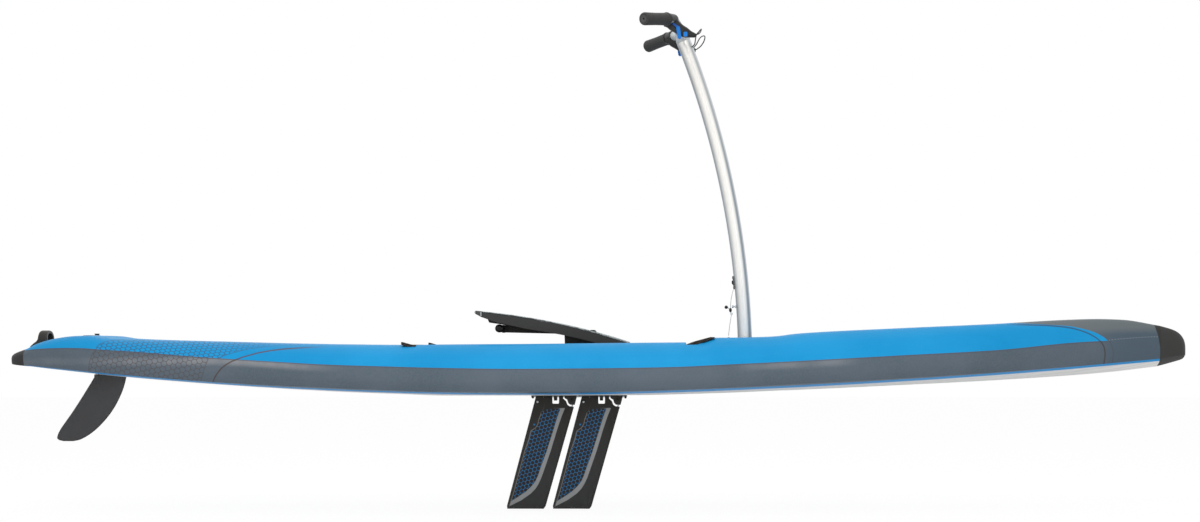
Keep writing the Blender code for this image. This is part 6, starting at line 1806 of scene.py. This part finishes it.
def make_lever(side, way):
    outline = disc_outline(LEVER_X + 0.0045, LEVER_Z - 0.0287, 0.0059, 190, 380)
    outline += [(LEVER_X + 0.0072, LEVER_Z - 0.006)]
    outline += disc_outline(LEVER_X, LEVER_Z, 0.0058, 20, 90, 10)
    outline += [
        (LEVER_X - 0.015, LEVER_Z + 0.0155),
        (LEVER_X - 0.0185, LEVER_Z + 0.012),
        (LEVER_X - 0.0165, LEVER_Z + 0.0095),
        (LEVER_X - 0.006, LEVER_Z + 0.001),
    ]
    inner = LEVER_DISTANCE - LEVER_INSET + GAP
    lever = slab("lever_skin_" + side, outline, way, inner, inner + 0.005)
    fuse(lever, axle("stub", LEVER_X, LEVER_Z, way * (inner - 0.007), way * (inner + 0.001), 0.0028))
    piece(lever, "lever_" + side, "lever_blue", "steering_lever_" + side, bevel=0.001, segments=3)
    depth = LEVER_DISTANCE - 0.0045
    outline = rounded(0.6134, 1.0901, 0.6256, 1.1043, 0.0026, 6)
    button = slab("button_skin_" + side, outline, way, depth - 0.003, depth)
    piece(button, "button_" + side, "button_blue", "lock_button_" + side, bevel=0.0007, segments=3)


# Cords and the mast's tether


def wire(name, places, per_span, radius, finish, node):
    """A round cord on a smooth line through some places, laid as a curve."""
    route = smooth_route(places, per_span)
    data = bpy.data.curves.new(name, "CURVE")
    data.dimensions = "3D"
    data.bevel_depth = radius
    data.bevel_resolution = 5
    data.use_fill_caps = True
    line = data.splines.new("POLY")
    line.points.add(len(route) - 1)
    for point, place in zip(line.points, route):
        point.co = (*place, 1.0)
    made = add_object(name, data)
    ride(made, "board", finish, [node])
    return made, route[0], sum((b - a).length for a, b in zip(route, route[1:]))


def make_cords():
    for side, way in SIDES:
        places = [(x, way * y, z) for x, y, z in CABLE_ROUTES[side]]
        made = wire("cable_line_" + side, places, 8, CABLE_RADIUS, "cable_jacket", "steering_cable_" + side)
        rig.cord(*made, 2 * CABLE_RADIUS, "object", stiffness="stiff", lay="taut")
    rows = mirrored(((0, 0.0016), (0.06, 0.0026), (0.12, 0.0032), (0.22, 0.004), (0.35, 0.0044)))
    made = wire("tether_upper", UPPER_TETHER, 6, TETHER_RADIUS, "lanyard_cord", "lanyard_upper")
    bead = turned("tether_bead", (0.7593, 0, 0.2712), (0.7592, 0, 0.2582), rows, 40)
    ends = piece(bead, "board", "gloss_black", "lanyard_bead"), refined("lanyard_snap", "board", "stainless")
    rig.cord(*made, 2 * TETHER_RADIUS, "fitting", stiffness="limp", lay="hanging", with_pieces=ends)
    made = wire("tether_lower", LOWER_TETHER, 6, TETHER_RADIUS, "lanyard_cord", "lanyard_lower")
    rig.cord(*made, 2 * TETHER_RADIUS, "object", stiffness="limp", lay="hanging")


def make_tether_fittings():
    rows = [(0, 0.0045), (0.1, 0.0047), (0.15, 0.0045), (0.16, 0.002)]
    rows += [(0.55, 0.002), (0.6, 0.0038), (0.78, 0.0043), (0.95, 0.004), (1, 0.0028)]
    x = mast_x(0.2755) - MAST_RADIUS - 2 * GAP
    stud = turned("mast_stud", (x - GAP, 0, 0.2755), (x - 0.0125, 0, 0.2755), rows, 40)
    piece(stud, "board", "stainless", "mast_eye")
    turns = [pi * k / 16 for k in range(17)]
    rows = [((1 - cos(turn)) / 2, 0.0052 * sin(turn) + 0.0002) for turn in turns]
    ball = turned("tether_ball", (0.7461, -0.0052, 0.2735), (0.7461, 0.0052, 0.2735), rows, 40)
    fuse(ball, rod("ball_cord", (0.749, 0, 0.274), (0.7546, 0, 0.269), 0.0009, 16))
    piece(ball, "board", "gloss_black", "pull_ball", angle=50)
    refined("mast_cleat", "board", "drive_black", 0.0006)


def finish_rest():
    """The pieces inside the hull and the drive, which keep the model's shape."""
    for node in ("drive_spine", "well_liner"):
        refined(node, "board", "drive_black")
    for end in ("aft", "fore"):
        refined("latch_cam_" + end, "latch_" + end, "drive_black")
    for side, _ in SIDES:
        refined("pedal_hinge_" + side, "board", "stainless", 0.0004)
    ends = (WELL_REAR_X + 0.0066, 0, FIN_AXIS_Z), (WELL_FRONT_X - 0.0066, 0, FIN_AXIS_Z)
    piece(rod("fin_shaft_rod", *ends, 0.0032, 40), "board", "stainless", "fin_shaft")


# Stage, lights and camera


def make_stage():
    scene = bpy.context.scene
    scene.view_settings.view_transform = "Standard"
    made = bpy.data.cameras.new("photo_camera")
    scene.camera = add_object("photo_camera", made)
    scene.camera.location = CAMERA
    scene.camera.rotation_euler = (pi / 2, 0, 0)
    made.sensor_width = 36
    made.lens = FOCAL / PHOTO_WIDTH * 36
    made.shift_x = -(AHEAD_U - PHOTO_WIDTH / 2) / PHOTO_WIDTH
    made.shift_y = (AHEAD_V - PHOTO_HEIGHT / 2) / PHOTO_WIDTH
    make_world(scene)
    make_floor()
    add_light("key", (0.0, -2.6, 3.4), (0.3, 0.0, 0.1), 3.4, 1.6, 44.0)
    add_light("fill", (0.6, -5.2, 0.9), (0.5, 0.0, 0.3), 4.6, 2.0, 34.0)
    add_light("top", (0.4, 0.6, 3.2), (0.4, 0.0, 0.1), 4.0, 1.6, 22.0)
    add_light("bounce", (0.35, -1.1, -0.34), (0.35, 0.0, 0.05), 4.2, 0.5, 6.0)


def add_light(name, place, target, width, height, power):
    made = bpy.data.lights.new(name, "AREA")
    made.shape = "RECTANGLE"
    made.size = width
    made.size_y = height
    made.energy = power
    lamp = add_object(name, made)
    lamp.location = place
    lamp.rotation_euler = (Vector(target) - Vector(place)).to_track_quat("-Z", "Y").to_euler()


def add_math(tree, operation, first, second):
    made = tree.nodes.new("ShaderNodeMath")
    made.operation = operation
    tree.links.new(first, made.inputs[0])
    if isinstance(second, float):
        made.inputs[1].default_value = second
    else:
        tree.links.new(second, made.inputs[1])
    return made.outputs[0]


def mix_shaders(tree, share, first, second, end):
    mix = tree.nodes.new("ShaderNodeMixShader")
    for socket, value in zip(mix.inputs, (share, first.outputs[0], second.outputs[0])):
        tree.links.new(value, socket)
    tree.links.new(mix.outputs[0], tree.nodes[end].inputs["Surface"])


def make_world(scene):
    """Soft white light, and plain white to the camera and in mirrors."""
    world = bpy.data.worlds.new("studio")
    scene.world = world
    world.use_nodes = True
    tree = world.node_tree
    back = tree.nodes["Background"]
    seen = tree.nodes.new("ShaderNodeBackground")
    for shader, strength in ((seen, 1.0), (back, 0.58)):
        shader.inputs["Color"].default_value = (1, 1, 1, 1)
        shader.inputs["Strength"].default_value = strength
    path = tree.nodes.new("ShaderNodeLightPath").outputs
    most = add_math(tree, "MAXIMUM", path["Is Camera Ray"], path["Is Glossy Ray"])
    most = add_math(tree, "MAXIMUM", most, path["Is Transmission Ray"])
    mix_shaders(tree, most, back, seen, "World Output")


def make_floor():
    """A pale floor under the fins, near white to the camera but with the board's shadow on it."""
    floor = new_object("floor", ((-14, -12, 0), (15, -12, 0), (15, 14, 0), (-14, 14, 0)), [(0, 1, 2, 3)])
    floor.location.z = -0.36
    made = bpy.data.materials.new("floor")
    made.use_nodes = True
    tree = made.node_tree
    shader = tree.nodes["Principled BSDF"]
    shader.inputs["Base Color"].default_value = (0.86, 0.86, 0.86, 1)
    shader.inputs["Roughness"].default_value = 0.9
    shader.inputs["Specular IOR Level"].default_value = 0.0
    glow = tree.nodes.new("ShaderNodeEmission")
    glow.inputs["Strength"].default_value = 1.04
    path = tree.nodes.new("ShaderNodeLightPath").outputs
    mix_shaders(tree, add_math(tree, "MULTIPLY", path["Is Camera Ray"], 0.9), shader, glow, "Material Output")
    floor.data.materials.append(made)
    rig.stage(floor)


def main():
    make_materials()
    make_stage()
    make_cords()
    make_hull()
    make_deck_pad()
    for side, way in SIDES:
        make_foot(side, way)
        make_crank(side, way)
    make_spindle()
    for name, start in FIN_STARTS:
        make_fin(name, start)
    make_rudder()
    make_tail_handle()
    make_mast()
    make_mast_base()
    make_mast_head()
    bar = loft("bar_skin", bar_rings(BAR_RADIUS))
    piece(bar, "board", "bar_alloy", "handlebar", bevel=0.0008, angle=50)
    for side, way in SIDES:
        make_grip(side, way)
        make_hood(side, way)
        make_lever(side, way)
    make_tether_fittings()
    finish_rest()
    with open("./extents.json", "w") as out:
        json.dump({"cad": [list(p) for p in CAD_BOX], "visual": [list(p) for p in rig.bounds()]}, out)


main()
